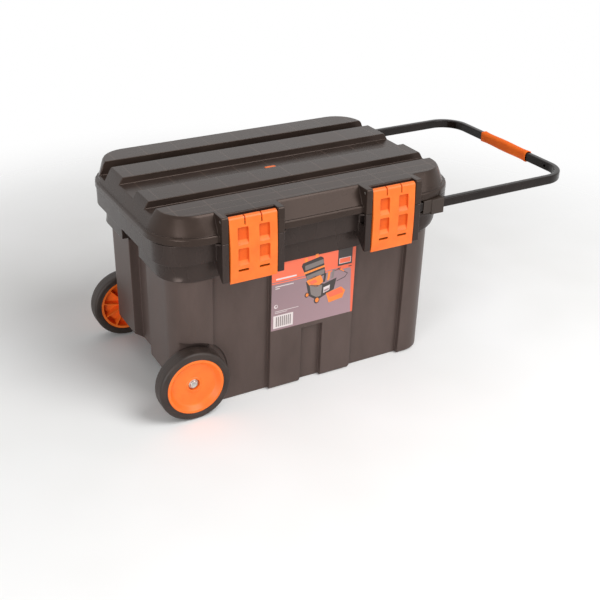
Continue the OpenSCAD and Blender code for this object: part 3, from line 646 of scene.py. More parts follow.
def prism(name: str, near: Sequence[Point3], far: Sequence[Point3], smooth_angle: float = 35.0) -> Piece:
    """Closed shape between two outlines that match.

    Args:
        name: Name of the object.
        near: Corners of one end, in millimetres.
        far: The same corners at the other end.
        smooth_angle: Edges sharper than this stay sharp, in degrees.

    Returns:
        The new object.
    """
    n = len(near)
    faces = [tuple(range(n)), tuple(range(2 * n - 1, n - 1, -1))]
    faces += [(i, (i + 1) % n, n + (i + 1) % n, n + i) for i in range(n)]
    return make_object(name, [*near, *far], faces, smooth_angle)


def prism_x(
    name: str, outline: Sequence[Point2], x0: float, x1: float, smooth_angle: float = 35.0
) -> Piece:
    """Side outline of y and z, carried from x0 to x1."""
    return prism(name, *([(x, y, z) for y, z in outline] for x in (x0, x1)), smooth_angle)


def prism_y(name: str, outline: Sequence[Point2], y0: float, y1: float) -> Piece:
    """Front outline of x and z, carried from y0 to y1."""
    return prism(name, *([(x, y, z) for x, z in outline] for y in (y0, y1)))


def lathe(name: str, profile: Sequence[Point2], axis_x: float, axis_z: float, segments: int) -> Piece:
    """Turns a closed profile about an axis along Y.

    Args:
        name: Name of the object.
        profile: Points of radius and y, in millimetres.
        axis_x: Place of the axis.
        axis_z: Height of the axis.
        segments: Steps round the axis.

    Returns:
        The turned piece.
    """
    verts = []
    for s in range(segments + 1):
        angle = 2 * math.pi * (s % segments) / segments
        across, up = math.cos(angle), math.sin(angle)
        verts += [(axis_x + radius * across, y, axis_z + radius * up) for radius, y in profile]
    return make_object(name, verts, grid_faces(segments + 1, len(profile), True), 40)


def smoothstep(low: float, high: float, value: float) -> float:
    """0 below low, 1 above high, smooth between."""
    t = min(max((value - low) / (high - low), 0.0), 1.0)
    return t * t * (3 - 2 * t)


def join(name: str, pieces: Sequence[Piece]) -> Piece:
    """Joins pieces into the first one.

    Args:
        name: Name of the result.
        pieces: The pieces; all but the first are used up.

    Returns:
        The first piece, renamed.
    """
    first = pieces[0]
    with bpy.context.temp_override(active_object=first, object=first, selected_editable_objects=pieces):
        bpy.ops.object.join()
    first.name = name
    return first


def combine(piece: Piece, other: Piece, operation: str) -> Piece:
    """Adds another closed shape to a piece or takes it away, and applies the result.

    Args:
        piece: The piece that stays.
        other: The shape that is used up.
        operation: UNION or DIFFERENCE.

    Returns:
        The piece as a new plain mesh.
    """
    modifier = piece.modifiers.new(operation.lower(), "BOOLEAN")
    modifier.operation = operation
    modifier.solver = "EXACT"
    modifier.use_self = True
    modifier.object = other
    result = plain_mesh(piece)
    bpy.data.objects.remove(other)
    return result


def repeat(
    piece: Piece, count: int, material: Material, step_mm: float = 0.0, axis_mm: Point2 = (0.0, 0.0),
    first_deg: float = 0.0, turn_deg: float = 0.0,
) -> Piece:
    """Repeats a shape in a row along X, or round an axis along Y, with geometry nodes.

    Args:
        piece: The first of a row, or a shape made about the origin; it is used up.
        count: How many copies.
        material: Material of every copy.
        step_mm: From one copy to the next.
        axis_mm: X and Z of the axis.
        first_deg: Angle of the first copy.
        turn_deg: Angle from one copy to the next.

    Returns:
        One plain mesh with all copies.
    """
    tree = ShapeTree(f"{piece.name}_copies")
    number = tree.size("Copies", count)
    step = tree.size("Step", (step_mm * MM, 0.0, 0.0))
    centre = tree.size("Axis", (axis_mm[0] * MM, 0.0, axis_mm[1] * MM))
    first = tree.size("First angle", math.radians(first_deg))
    turn = tree.size("Angle between copies", math.radians(turn_deg))
    points = tree.add("GeometryNodeMeshLine", {"Count": number, "Offset": step})
    index = tree.add("GeometryNodeInputIndex")
    angle = tree.add("ShaderNodeMath", (index, turn, first), operation="MULTIPLY_ADD")
    rotation = tree.add("ShaderNodeCombineXYZ", {"Y": angle})
    instances = {"Points": points, "Instance": tree.shape, "Rotation": rotation}
    copies = tree.add("GeometryNodeInstanceOnPoints", instances)
    moved = tree.add("GeometryNodeTransform", {"Geometry": copies, "Translation": centre})
    return tree.bake(piece, moved, material)


def dress(piece: Piece, materials: Sequence[Material], body: str, slot: Slot, node: str) -> None:
    """Gives a piece what it needs to stand for a CAD node.

    Args:
        piece: The finished piece.
        materials: Its materials, in the order of the faces' numbers.
        body: Body that it rides on.
        slot: Its slot in the record; not used.
        node: The CAD node that it replaces.
    """
    piece.data.materials.clear()
    for material in materials:
        piece.data.materials.append(material)
    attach(piece, body)
    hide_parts(node)
    log.info("made %s for %s: %d faces", piece.name, node, len(piece.data.polygons))


# Rounded edges and the pieces that keep their CAD shape.


@dataclass(frozen=True)
class EdgeCare:
    """How the edges of a moulded piece are rounded.

    Attributes:
        width_mm: Width of the rounding.
        merge_mm: Points closer than this become one.
        angle: Edges sharper than this are rounded, in degrees.
        segments: Faces across each rounding.
        crisp_mm: Two corners of a space, the same on both sides of Y, whose edges stay crisp.
    """

    width_mm: float
    merge_mm: float = 0.05
    angle: float = 32.0
    segments: int = 2
    crisp_mm: tuple[Point3, Point3] = ((0.0, 0.0, 0.0), (0.0, 0.0, 0.0))

    FLAT_DEG = 0.6  # Faces that meet at less than this become one.
    SHARP_DEG = 50.0  # Edges sharper than this stay sharp in the shading.
    THIN = 36.0  # Perimeter squared over area of a face that a rounding could fold.
    MANY_CORNERS = 4.5  # Past a quad's.
    ROOM = 2.2  # Widths of rounding that an edge beside it has to leave.
    AREA_WEIGHT = 80  # How much the large faces lead the shading.

    def put_on(self, piece: Piece) -> None:
        """Rounds the sharp edges of a piece with modifiers only.

        Args:
            piece: A CAD node or a mesh; its own points stay.
        """
        weld = piece.modifiers.new("merged_points", "WELD")
        weld.merge_threshold = self.merge_mm * MM
        flat = piece.modifiers.new("flat_faces", "DECIMATE")
        flat.decimate_type = "DISSOLVE"
        flat.angle_limit = math.radians(self.FLAT_DEG)
        self._split_rings(piece)
        self._weigh_edges(piece)
        bevel = piece.modifiers.new("rounded_edges", "BEVEL")
        bevel.width = self.width_mm * MM
        bevel.segments = self.segments
        bevel.limit_method = "WEIGHT"
        bevel.use_clamp_overlap = False
        bevel.loop_slide = False
        self._mark_sharp(piece)
        normals = piece.modifiers.new("even_shading", "WEIGHTED_NORMAL")
        normals.keep_sharp = True
        normals.weight = self.AREA_WEIGHT

    @staticmethod
    def _edge_length(tree: ShapeTree) -> Socket:
        """Length of each edge."""
        _, _, *places = tree.add("GeometryNodeInputMeshEdgeVertices").outputs
        return tree.add("ShaderNodeVectorMath", places, operation="DISTANCE").outputs["Value"]

    def _split_rings(self, piece: Piece) -> None:
        """Notes how narrow each face is, and cuts long thin ones, which could fold, into triangles.

        Args:
            piece: The object that gets the modifier.
        """
        tree = ShapeTree("split_rings")
        limit = tree.size("Perimeter squared over area", self.THIN)
        mean = tree.add("GeometryNodeFieldOnDomain", (self._edge_length(tree),), domain="EDGE")
        count = tree.add("GeometryNodeInputMeshFaceNeighbors")
        area = tree.add("GeometryNodeInputMeshFaceArea")
        outline = tree.add("ShaderNodeMath", (mean, count), operation="MULTIPLY")
        squared = tree.add("ShaderNodeMath", (outline, outline), operation="MULTIPLY")
        shape = tree.add("ShaderNodeMath", (squared, area), operation="DIVIDE")
        thin = tree.add("ShaderNodeMath", (shape, limit), operation="GREATER_THAN")
        many = tree.add("ShaderNodeMath", (count, self.MANY_CORNERS), operation="GREATER_THAN")
        chosen = tree.add("ShaderNodeMath", (thin, many), operation="MULTIPLY")
        double = tree.add("ShaderNodeMath", (area, 2.0), operation="MULTIPLY")
        narrow = tree.add("ShaderNodeMath", (outline, double), operation="DIVIDE")
        value = tree.add("ShaderNodeMath", (narrow, narrow), operation="MULTIPLY")
        noted = {"Geometry": tree.shape, "Name": "narrowness", "Value": value}
        kept = tree.add("GeometryNodeStoreNamedAttribute", noted, domain="FACE")
        tree.put_on(piece, tree.add("GeometryNodeTriangulate", {"Mesh": kept, "Selection": chosen}))

    def _weigh_edges(self, piece: Piece) -> None:
        """Gives each sharp edge a rounding weight, less where what lies beside it leaves no room.

        Args:
            piece: The object that gets the modifier.
        """
        tree = ShapeTree("edge_room")
        width = tree.size("Rounding width", self.width_mm * MM)
        limit = tree.size("Sharp angle", math.radians(self.angle))
        length = self._edge_length(tree)
        nearest = tree.add("GeometryNodeEdgesOfVertex", {"Weights": length, "Sort Index": 0})
        shortest = tree.add("GeometryNodeFieldAtIndex", {"Index": nearest, "Value": length}, domain="EDGE")
        noted = {"Geometry": tree.shape, "Name": "shortest_edge", "Value": shortest}
        kept = tree.add("GeometryNodeStoreNamedAttribute", noted, domain="POINT")
        room = tree.add("GeometryNodeInputNamedAttribute", {"Name": "shortest_edge"})
        ends = tree.add("GeometryNodeInputMeshEdgeVertices").outputs
        narrow = tree.add("GeometryNodeInputNamedAttribute", {"Name": "narrowness"})
        double = tree.add("ShaderNodeMath", (narrow, 2.0), operation="MULTIPLY")
        free = tree.add("ShaderNodeMath", (double,), operation="INVERSE_SQRT")
        for end in (ends["Vertex Index 1"], ends["Vertex Index 2"]):
            beside = tree.add("GeometryNodeFieldAtIndex", {"Index": end, "Value": room}, domain="POINT")
            free = tree.add("ShaderNodeMath", (free, beside), operation="MINIMUM")
        need = tree.add("ShaderNodeMath", (width, self.ROOM), operation="MULTIPLY")
        share = tree.add("ShaderNodeMath", (free, need), operation="DIVIDE")
        capped = tree.add("ShaderNodeMath", (share, 1.0), operation="MINIMUM")
        angle = tree.add("GeometryNodeInputMeshEdgeAngle")
        sharp = tree.add("ShaderNodeMath", (angle, limit), operation="GREATER_THAN")
        weight = tree.add("ShaderNodeMath", (capped, sharp), operation="MULTIPLY")
        place = tree.add("ShaderNodeSeparateXYZ", (tree.add("GeometryNodeInputPosition"),)).outputs
        side = tree.add("ShaderNodeMath", (place[1],), operation="ABSOLUTE")
        inside: Node | float = 1.0
        for value, low, high in zip((place[0], side, place[2]), *self.crisp_mm):
            span = (value, (low + high) / 2 * MM, (high - low) / 2 * MM)
            within = tree.add("ShaderNodeMath", span, operation="COMPARE")
            inside = tree.add("ShaderNodeMath", (inside, within), operation="MULTIPLY")
        outside = tree.add("ShaderNodeMath", (1.0, inside), operation="SUBTRACT")
        weight = tree.add("ShaderNodeMath", (weight, outside), operation="MULTIPLY")
        noted = {"Geometry": kept, "Name": "bevel_weight_edge", "Value": weight}
        tree.put_on(piece, tree.add("GeometryNodeStoreNamedAttribute", noted, domain="EDGE"))

    @staticmethod
    def _mark_sharp(piece: Piece) -> None:
        """Keeps the rounded piece in its own box, and shades it smooth but for edges left sharp.

        Args:
            piece: The object that gets the modifier.
        """
        tree = ShapeTree("smooth_faces")
        axes = list(zip(*piece.bound_box))
        low = tree.size("Low corner", tuple(min(axis) for axis in axes))
        high = tree.size("High corner", tuple(max(axis) for axis in axes))
        limit = tree.size("Sharp angle", math.radians(EdgeCare.SHARP_DEG))
        place = tree.add("GeometryNodeInputPosition")
        place = tree.add("ShaderNodeVectorMath", (place, low), operation="MAXIMUM")
        place = tree.add("ShaderNodeVectorMath", (place, high), operation="MINIMUM")
        held = tree.add("GeometryNodeSetPosition", {"Geometry": tree.shape, "Position": place})
        smooth = tree.add("GeometryNodeSetShadeSmooth", {"Geometry": held, "Shade Smooth": True})
        angle = tree.add("GeometryNodeInputMeshEdgeAngle")
        sharp = tree.add("FunctionNodeCompare", (angle, limit), operation="GREATER_THAN")
        marks = {"Geometry": smooth, "Selection": sharp, "Shade Smooth": False}
        tree.put_on(piece, tree.add("GeometryNodeSetShadeSmooth", marks, domain="EDGE"))


@dataclass(frozen=True)
class CadPieces:
    """Puts finishes and rounded edges on the CAD nodes that stay.

    Attributes:
        nodes: The frame's nodes by name.
        library: Where the materials come from.
    """

    nodes: dict[str, Piece]
    library: MaterialLibrary

    TUB_EDGES = EdgeCare(1.3, merge_mm=0.4, crisp_mm=((88.0, 188.0, 318.0), (208.0, 209.0, 352.0)))
    CARE = (
        (Slot.TUB, TUB_EDGES, ("tub",)),
        (Slot.LID, EdgeCare(1.8, merge_mm=0.4), ("lid",)),
        (Slot.ORANGE, EdgeCare(0.8), ("tray", "tool_rack")),
        (Slot.ORANGE, EdgeCare(1.5), ("tray_handle",)),
        (Slot.ORANGE, EdgeCare(0.3), ("lid_badge",)),
        (Slot.TRIM, EdgeCare(1.0), ("handle_guide_front", "handle_guide_rear")),
        (Slot.TRIM, EdgeCare(0.5), ("handle_plug_front", "handle_plug_rear")),
        (Slot.STEEL, EdgeCare(0.4), ("axle", "hinge_pin_left", "hinge_pin_right")),
        (Slot.STEEL, EdgeCare(0.4), ("latch_pin_left", "latch_pin_right")),
        (Slot.STEEL, EdgeCare(0.2), ("guide_screws", "rack_screws")),
    )

    def build(self) -> None:
        """Finishes every kept node."""
        for slot, care, names in self.CARE:
            for node in (self.nodes[name] for name in names):
                node.data.materials.clear()
                node.data.materials.append(self.library.for_slot(slot))
                care.put_on(node)
                log.info("finished %s as %s", node.name, slot.value)
        self._close_bosses(self.nodes["lid"])

    def _close_bosses(self, lid: Piece) -> None:
        """Closes the lid's skin over its two screw bosses, whose bores just reach the recess above.

        Args:
            lid: The lid.
        """
        tree = ShapeTree("closed_bosses")
        radius = tree.size("Skin radius", 1.86 * MM)
        depth = tree.size("Skin thickness", 0.6 * MM)
        skin = tree.add("GeometryNodeMeshCylinder", {"Vertices": 24, "Radius": radius, "Depth": depth})
        shapes = tree.add("GeometryNodeJoinGeometry", (tree.shape,))
        for side, x in (("left", -190.0), ("right", 190.0)):
            place = tree.size(f"Boss on the {side}", (x * MM, 5.0 * MM, 385.68 * MM))
            moved = tree.add("GeometryNodeTransform", {"Geometry": skin, "Translation": place})
            paint = {"Geometry": moved, "Material": self.library.for_slot(Slot.LID)}
            tree.feed(shapes.inputs[0], tree.add("GeometryNodeSetMaterial", paint))
        tree.put_on(lid, shapes)


# Wheels.


@dataclass(frozen=True)
class WheelSizes:
    """Sizes of a wheel in millimetres; depths count outwards from its inner face."""

    axle_x: float = -253.0
    axle_z: float = 69.5
    radius: float = 69.5
    inner_y: float = 163.0
    width: float = 31.0
    shoulder: float = 5.2
    hub_radius: float = 55.5
    lip_radius: float = 50.0
    dish_radius: float = 43.0
    dish_depth: float = 21.2
    boss_radius: float = 15.0
    cap_radius: float = 10.0
    cap_seat: float = 16.0
    cap_foot: float = 3.12
    bore: float = 5.08
    bore_depth: float = -4.6
    ribs: int = 10
    rib_width: float = 2.4
    rib_taper: float = 0.35
    first_rib_deg: float = 12.0


@dataclass(frozen=True)
class Wheel:
    """One tyre, hub and push-on cap.

    Attributes:
        side: -1 at the front, 1 at the rear.
        library: Where the materials come from.
        sizes: Its sizes.
    """

    side: int
    library: MaterialLibrary
    sizes: WheelSizes = WheelSizes()

    @property
    def tag(self) -> str:
        """End of the names on this side."""
        return "front" if self.side < 0 else "rear"

    def _turn(self, name: str, corners: Sequence[Point3], segments: int) -> Piece:
        """Turns a rounded profile about the axle.

        Args:
            name: What the piece is.
            corners: Radius, depth and rounding of each corner.
            segments: Steps round the axle.

        Returns:
            The turned piece.
        """
        s = self.sizes
        outline = rounded([(r, d) for r, d, _ in corners], [q for _, _, q in corners])
        profile = [(r, self.side * (s.inner_y + d)) for r, d in outline]
        return lathe(f"{name}_{self.tag}_skin", profile, s.axle_x, s.axle_z, segments)

    def build(self) -> None:
        """Builds the wheel and hands its pieces to their bodies."""
        wheel = f"wheel_{self.tag}"
        pieces = (
            (self._tyre(), wheel, Slot.RUBBER, "tyre"),
            (self._hub(), wheel, Slot.ORANGE, "hub"),
            (self._cap(), "tub", Slot.STEEL, "axle_cap"),
        )
        for piece, body, slot, node in pieces:
            dress(piece, [self.library.for_slot(slot)], body, slot, f"{node}_{self.tag}")

    def _tyre(self) -> Piece:
        """Solid rubber tyre with round shoulders, a step where it meets the hub and a parting line."""
        s = self.sizes
        foot, tread, w, middle = s.hub_radius, s.radius, s.width, s.width / 2
        step = [(0.0, 0.6, 0.3), (0.6, 0.0, 0.3), (2.0, 0.0, 0.2), (2.4, 0.5, 0.2), (3.0, 0.5, 0.2)]
        step.append((3.4, 0.0, 0.2))
        near = [(foot + r, d, q) for r, d, q in step]
        far = [(r, w - d, q) for r, d, q in reversed(near)]
        line = [(tread, middle - 0.5, 0.2), (tread - 0.25, middle, 0.1), (tread, middle + 0.5, 0.2)]
        corners = [*near, (tread, 0.0, s.shoulder), *line, (tread, w, s.shoulder), *far]
        return self._turn("tyre", corners, 160)

    def _hub(self) -> Piece:
        """Moulded hub: a broad rolled rim, a deep dish, and a boss and ribs behind it."""
        s = self.sizes
        rim, w, back, cap = s.hub_radius - 0.02, s.width, s.dish_depth - 4.2, s.cap_radius
        corners = [
            (s.bore, s.bore_depth, 0.3), (s.boss_radius - 3.0, s.bore_depth, 0.8),
            (s.boss_radius, 0.0, 0.8), (s.boss_radius, back, 1.5), (s.dish_radius, back, 2.5),
            (s.lip_radius, w - 4.5, 2.5), (s.lip_radius, 2.0, 0.6), (rim, 2.0, 0.6), (rim, w - 0.4, 1.6),
            (s.lip_radius + 0.2, w - 0.4, 2.2), (s.dish_radius, s.dish_depth, 6.0),
            (cap + 6.0, s.dish_depth - 0.6, 2.0), (cap + 4.5, s.dish_depth + 0.8, 1.0),
            (cap + 1.5, s.dish_depth + 0.8, 0.7), (cap + 1.2, s.cap_seat - 0.4, 0.3),
            (s.bore, s.cap_seat - 0.4, 0.2),
        ]
        turned = self._turn("hub", corners, 144)
        return join(turned.name, [turned, self._ribs(back)])

    def _ribs(self, back: float) -> Piece:
        """Ribs behind the dish, a little thicker where they meet it.

        Args:
            back: Depth of the dish's rear face.

        Returns:
            All ribs as one piece.
        """
        s = self.sizes
        near, far, top = s.boss_radius - 0.8, s.lip_radius + 0.8, back + 0.8
        side = [(near, 2.2), (near + 1.5, 2.0), (far, 2.0), (far, s.width - 5.2)]
        side += [(s.dish_radius + 0.5, top), (near, top)]
        walls = []
        for edge in (-1, 1):
            half = [s.rib_width / 2 - (s.rib_taper if d < 3 else 0.0) for _, d in side]
            walls.append([(x, self.side * (s.inner_y + d), edge * h) for (x, d), h in zip(side, half)])
        rib = prism(f"hub_{self.tag}_rib", *walls)
        orange, axis = self.library.for_slot(Slot.ORANGE), (s.axle_x, s.axle_z)
        return repeat(rib, s.ribs, orange, 0.0, axis, s.first_rib_deg, 360 / s.ribs)

    def _cap(self) -> Piece:
        """Pressed cap on the axle's end: a flat flange, a rolled shoulder and a shallow dimple."""
        s = self.sizes
        seat, r, bore, foot = s.cap_seat, s.cap_radius, s.bore - 0.02, s.cap_seat + s.cap_foot
        corners = [
            (bore, seat, 0.2), (r, seat, 0.6), (r, seat + 1.7, 0.6), (r - 1.3, seat + 2.4, 0.8),
            (r - 2.6, seat + 2.6, 0.6), (r - 3.3, seat + 4.6, 1.0), (r - 4.8, seat + 5.0, 0.8),
            (r - 6.6, seat + 4.5, 1.2), (0.0, seat + 4.3, 0.0), (0.0, foot, 0.0), (bore, foot, 0.2),
        ]
        return self._turn("axle_cap", corners, 72)


# Latches.


@dataclass(frozen=True)
class LatchSizes:
    """Sizes of a latch in millimetres."""

    centre: float = 144.0
    half: float = 46.0
    pivot_y: float = -204.5
    pivot_z: float = 390.4
    barrel: float = 5.4
    bore: float = 2.58
    length: float = 118.0
    face_y: float = -211.1
    lean: float = 2.0
    bow: float = 2.93
    wall: float = 3.0
    rear_y: float = -206.2
    bead_y: float = -197.1
    catch_z: float = 296.4
    pocket_x: float = 20.5
    pocket_w: float = 20.5
    pocket_h: float = 32.0
    pocket_pitch: float = 38.5
    pocket_top: float = 376.4
    pocket_lip: float = 8.0
    pocket_d: float = 4.2
    pocket_r: float = 2.4
    pocket_wall: float = 1.4
    slot_z: float = 294.1
    slot_h: float = 4.4
    slit_x: float = 16.0
    slit_w: float = 2.4
    slit_l: float = 16.0
    waist: float = 0.7


@dataclass(frozen=True)
class Latch:
    """Front latch: a bowed plate rolled over a barrel, with four lipped pockets, slots and slits.

    Attributes:
        side: -1 for the left one, 1 for the right one.
        library: Where the materials come from.
        sizes: Its sizes.
    """

    side: int
    library: MaterialLibrary
    sizes: LatchSizes = LatchSizes()

    @property
    def x(self) -> float:
        """Its middle."""
        return self.side * self.sizes.centre

    @property
    def foot(self) -> float:
        """Its lowest height."""
        return self.sizes.pivot_z - self.sizes.length

    def _face(self, z: float) -> float:
        """Place of the plate's outer face, which leans out and bows.

        Args:
            z: Height.

        Returns:
            Its y.
        """
        s = self.sizes
        t = (s.pivot_z - z) / s.length
        return s.face_y - s.lean * t - s.bow * math.sin(math.pi * t)

    def _name(self, part: str = "") -> str:
        """Name of this latch, or of one part of it."""
        return "_".join(filter(None, ("latch", "left" if self.side < 0 else "right", part)))

    def build(self) -> None:
        """Builds the latch and hands it to its body."""
        body = self._plate()
        for part in (*self._cheeks(), *self._pocket_backs(), self._bead()):
            body = combine(body, part, "UNION")
        for cutter in (self._pocket_cutters(), self._slots(), self._slits(), self._bore()):
            body = combine(body, cutter, "DIFFERENCE")
        self._draw_in(body)
        EdgeCare(0.55, merge_mm=0.08, angle=28.0, segments=3).put_on(body)
        latch = plain_mesh(body)
        latch.name = self._name("skin")
        finishes = [self.library.for_slot(Slot.ORANGE), self.library.plain(POCKET_SHADE_FINISH)]
        dress(latch, finishes, self._name(), Slot.ORANGE, self._name())
        # Faces in the pockets, but not their lit lower lips, get the deeper orange of painted shade.
        for face in latch.data.polygons:
            face.material_index = int(self._in_pocket_shade(face.center / MM))

    def _in_pocket_shade(self, point: Vector) -> bool:
        """Whether a point lies on a pocket's floor or its upper walls, where shade is painted.

        Args:
            point: The point, in millimetres.

        Returns:
            True for the pocket.
        """
        s = self.sizes
        depth = point.y - self._face(point.z)
        across = abs(abs(point.x - self.x) - s.pocket_x) < s.pocket_w / 2 + 0.4
        edges = self._pocket_edges()
        rows = any(low + s.pocket_lip - 0.2 < point.z < top + 0.4 for top, low in edges)
        return across and rows and 0.7 < depth < s.pocket_d + 0.5

    def _plate(self) -> Piece:
        """Plate and barrel as one side outline, rolled over at the top and rounded at the foot."""
        s = self.sizes
        foot, steps = self.foot, 36
        inner_top = s.pivot_z - s.barrel
        share = [k / steps for k in range(steps + 1)]
        outline = [(self._face(z), z) for z in (foot + 1.6 + (s.pivot_z - foot - 1.6) * t for t in share)]
        reach = s.pivot_y - s.face_y
        for turn in (math.radians(90 * k / 8) for k in range(1, 9)):
            outline.append((s.pivot_y - reach * math.cos(turn), s.pivot_z + s.barrel * math.sin(turn)))
        for turn in (math.radians(90 - 10 * k) for k in range(1, 19)):
            outline.append((s.pivot_y + s.barrel * math.cos(turn), s.pivot_z + s.barrel * math.sin(turn)))
        heights = (inner_top + (foot + 0.8 - inner_top) * t for t in share)
        outline += [(self._face(z) + s.wall, z) for z in heights]
        face = self._face(foot)
        outline += [(face + s.wall - 0.8, foot), (face + 1.6, foot), (face + 0.5, foot + 0.5)]
        return prism_x(self._name("plate"), outline, self.x - s.half, self.x + s.half, 30)

    def _cheeks(self) -> list[Piece]:
        """Side walls behind the plate."""
        s = self.sizes
        low, high = self.foot + 1, s.pivot_z - 6
        heights = [high + (low - high) * k / 12 for k in range(13)]
        outline = [(self._face(z) + 1, z) for z in heights]
        outline += [(self._face(self.foot) + 7, low + 5), (s.rear_y, low + 19), (s.rear_y, high)]
        cheeks = []
        for k, side in enumerate((-1, 1)):
            near, far = sorted((self.x + side * (s.half - 2.0), self.x + side * s.half))
            cheeks.append(prism_x(self._name(f"cheek_{k}"), outline, near, far))
        return cheeks

    def _pocket_edges(self) -> list[tuple[float, float]]:
        """Top and bottom of each row of pockets."""
        s = self.sizes
        return [(top, top - s.pocket_h) for top in (s.pocket_top, s.pocket_top - s.pocket_pitch)]

    def _pocket_backs(self) -> list[Piece]:
        """Material behind each row of pockets."""
        s = self.sizes
        grow, x = s.pocket_wall, self.x - s.pocket_x - s.pocket_w / 2 - 1.5
        backs = []
        for row, (top, low) in enumerate(self._pocket_edges()):
            lip = low + s.pocket_lip
            outline = [
                (self._face(top) + 1, top + grow), (self._face(top) + s.pocket_d + grow, top + grow),
                (self._face(lip) + s.pocket_d + grow, lip), (self._face(low) + 0.4 + grow, low - grow),
                (self._face(low) + 1, low - grow),
            ]
            back = prism_x(self._name(f"back_{row}"), outline, x, x + s.pocket_w + 3)
            backs.append(self._columns(back))
        return backs

    def _columns(self, shape: Piece) -> Piece:
        """Repeats a shape of the left column in the right one."""
        return repeat(shape, 2, self.library.for_slot(Slot.ORANGE), 2 * self.sizes.pocket_x)

    def _pocket_cutters(self) -> Piece:
        """What the four pockets take away: floors along the plate that slope up to the lower lip."""
        s = self.sizes
        x = self.x - s.pocket_x
        corner = [s.pocket_r * (1 - math.cos(math.radians(15 * k))) for k in range(7)]
        pieces = []
        for row, (top, low) in enumerate(self._pocket_edges()):
            heights = [top - c for c in corner] + [top - 6, top - 12, top - 18, low + s.pocket_lip]
            heights += [low + c for c in reversed(corner)]
            verts = []
            for outside in (True, False):
                for z in heights:
                    end = s.pocket_r - min(top - z, z - low, s.pocket_r)
                    half = s.pocket_w / 2 - s.pocket_r + math.sqrt(max(s.pocket_r**2 - end**2, 0.0))
                    depth = 0.1 + (s.pocket_d - 0.1) * min((z - low) / s.pocket_lip, 1.0)
                    y = self._face(z) + (-3 if outside else depth)
                    verts += [(x - half, y, z), (x + half, y, z)]
            rows, shift = len(heights), 2 * len(heights)
            faces = grid_faces(rows, 2) + grid_faces(rows, 2, start=shift)
            for c in (0, 1):
                starts = (2 * r + c for r in range(rows - 1))
                faces += [(a, a + 2, shift + a + 2, shift + a) for a in starts]
            faces += [(0, 1, shift + 1, shift), (shift - 2, shift - 1, 2 * shift - 1, 2 * shift - 2)]
            pieces.append(self._columns(make_object(self._name(f"pocket_{row}"), verts, faces)))
        return join(self._name("pockets"), pieces)

    def _slots(self) -> Piece:
        """Slot below each column, through the plate."""
        s = self.sizes
        x, half, front, rear = self.x - s.pocket_x, s.pocket_w / 2, -220.0, -207.1
        outline = box(x - half, s.slot_z, x + half, s.slot_z + s.slot_h)
        return self._columns(prism_y(self._name("slot"), rounded(outline, [1.2] * 4, 4), front, rear))

    def _slits(self) -> Piece:
        """Two narrow slits down through the rolled top."""
        s = self.sizes
        x, half, top, front, rear = self.x - s.slit_x, s.slit_w / 2, s.pivot_z + s.barrel, -216.0, -195.0
        outline = rounded(box(x - half, top - s.slit_l, x + half, top + 2), [half * 0.95] * 2 + [0, 0])
        slit = prism_y(self._name("slit"), outline, front, rear)
        return repeat(slit, 2, self.library.for_slot(Slot.ORANGE), 2 * s.slit_x)

    def _bore(self) -> Piece:
        """Bore for the pin."""
        s = self.sizes
        outline = ring(s.bore, s.pivot_y, s.pivot_z, steps=32)
        return prism_x(self._name("bore"), outline, self.x - s.half - 1, self.x + s.half + 1)

    def _bead(self) -> Piece:
        """Bead inside the foot that passes the catch."""
        s = self.sizes
        low, high, half = s.catch_z - 16, s.catch_z - 3, s.half - 14
        outline = [(self._face(low) + 1, low), (s.bead_y, s.catch_z - 8), (s.bead_y, high)]
        outline = rounded([*outline, (self._face(high) + 1, high)], [0, 1.5, 1.2, 0], 4)
        return prism_x(self._name("bead"), outline, self.x - half, self.x + half)

    def _draw_in(self, body: Piece) -> None:
        """Draws the side edges in a little at mid height.

        Args:
            body: The latch; its points move.
        """
        s = self.sizes
        for vertex in body.data.vertices:
            x, z = vertex.co.x / MM - self.x, vertex.co.z / MM
            t = min(max((s.pivot_z - z) / s.length, 0.0), 1.0)
            pull = s.waist * math.sin(math.pi * t) * smoothstep(s.half - 14, s.half, abs(x))
            vertex.co.x -= math.copysign(pull, x) * MM


# Pull handle.


@dataclass(frozen=True)
class HandleSizes:
    """Sizes of the pull handle in millimetres."""

    inner_x: float = 190.9
    outer_x: float = 587.0
    arm_y: float = 199.0
    height: float = 338.5
    across: float = 12.0
    tall: float = 18.0
    wall: float = 1.5
    bend: float = 54.0
    corner: float = 2.6
    hole_y: float = -134.0
    hole_r: float = 3.0
    grip: float = 150.0
    grip_wall: float = 2.95
    grip_round: float = 7.6
    grip_inner_round: float = 2.7
    grip_rings: tuple[float, ...] = (0.0, 0.25, 0.7, 1.3, 2.1, 3.2, 5.0, 8.0, 12.0, 20.0, 32.0, 46.0, 60.0)


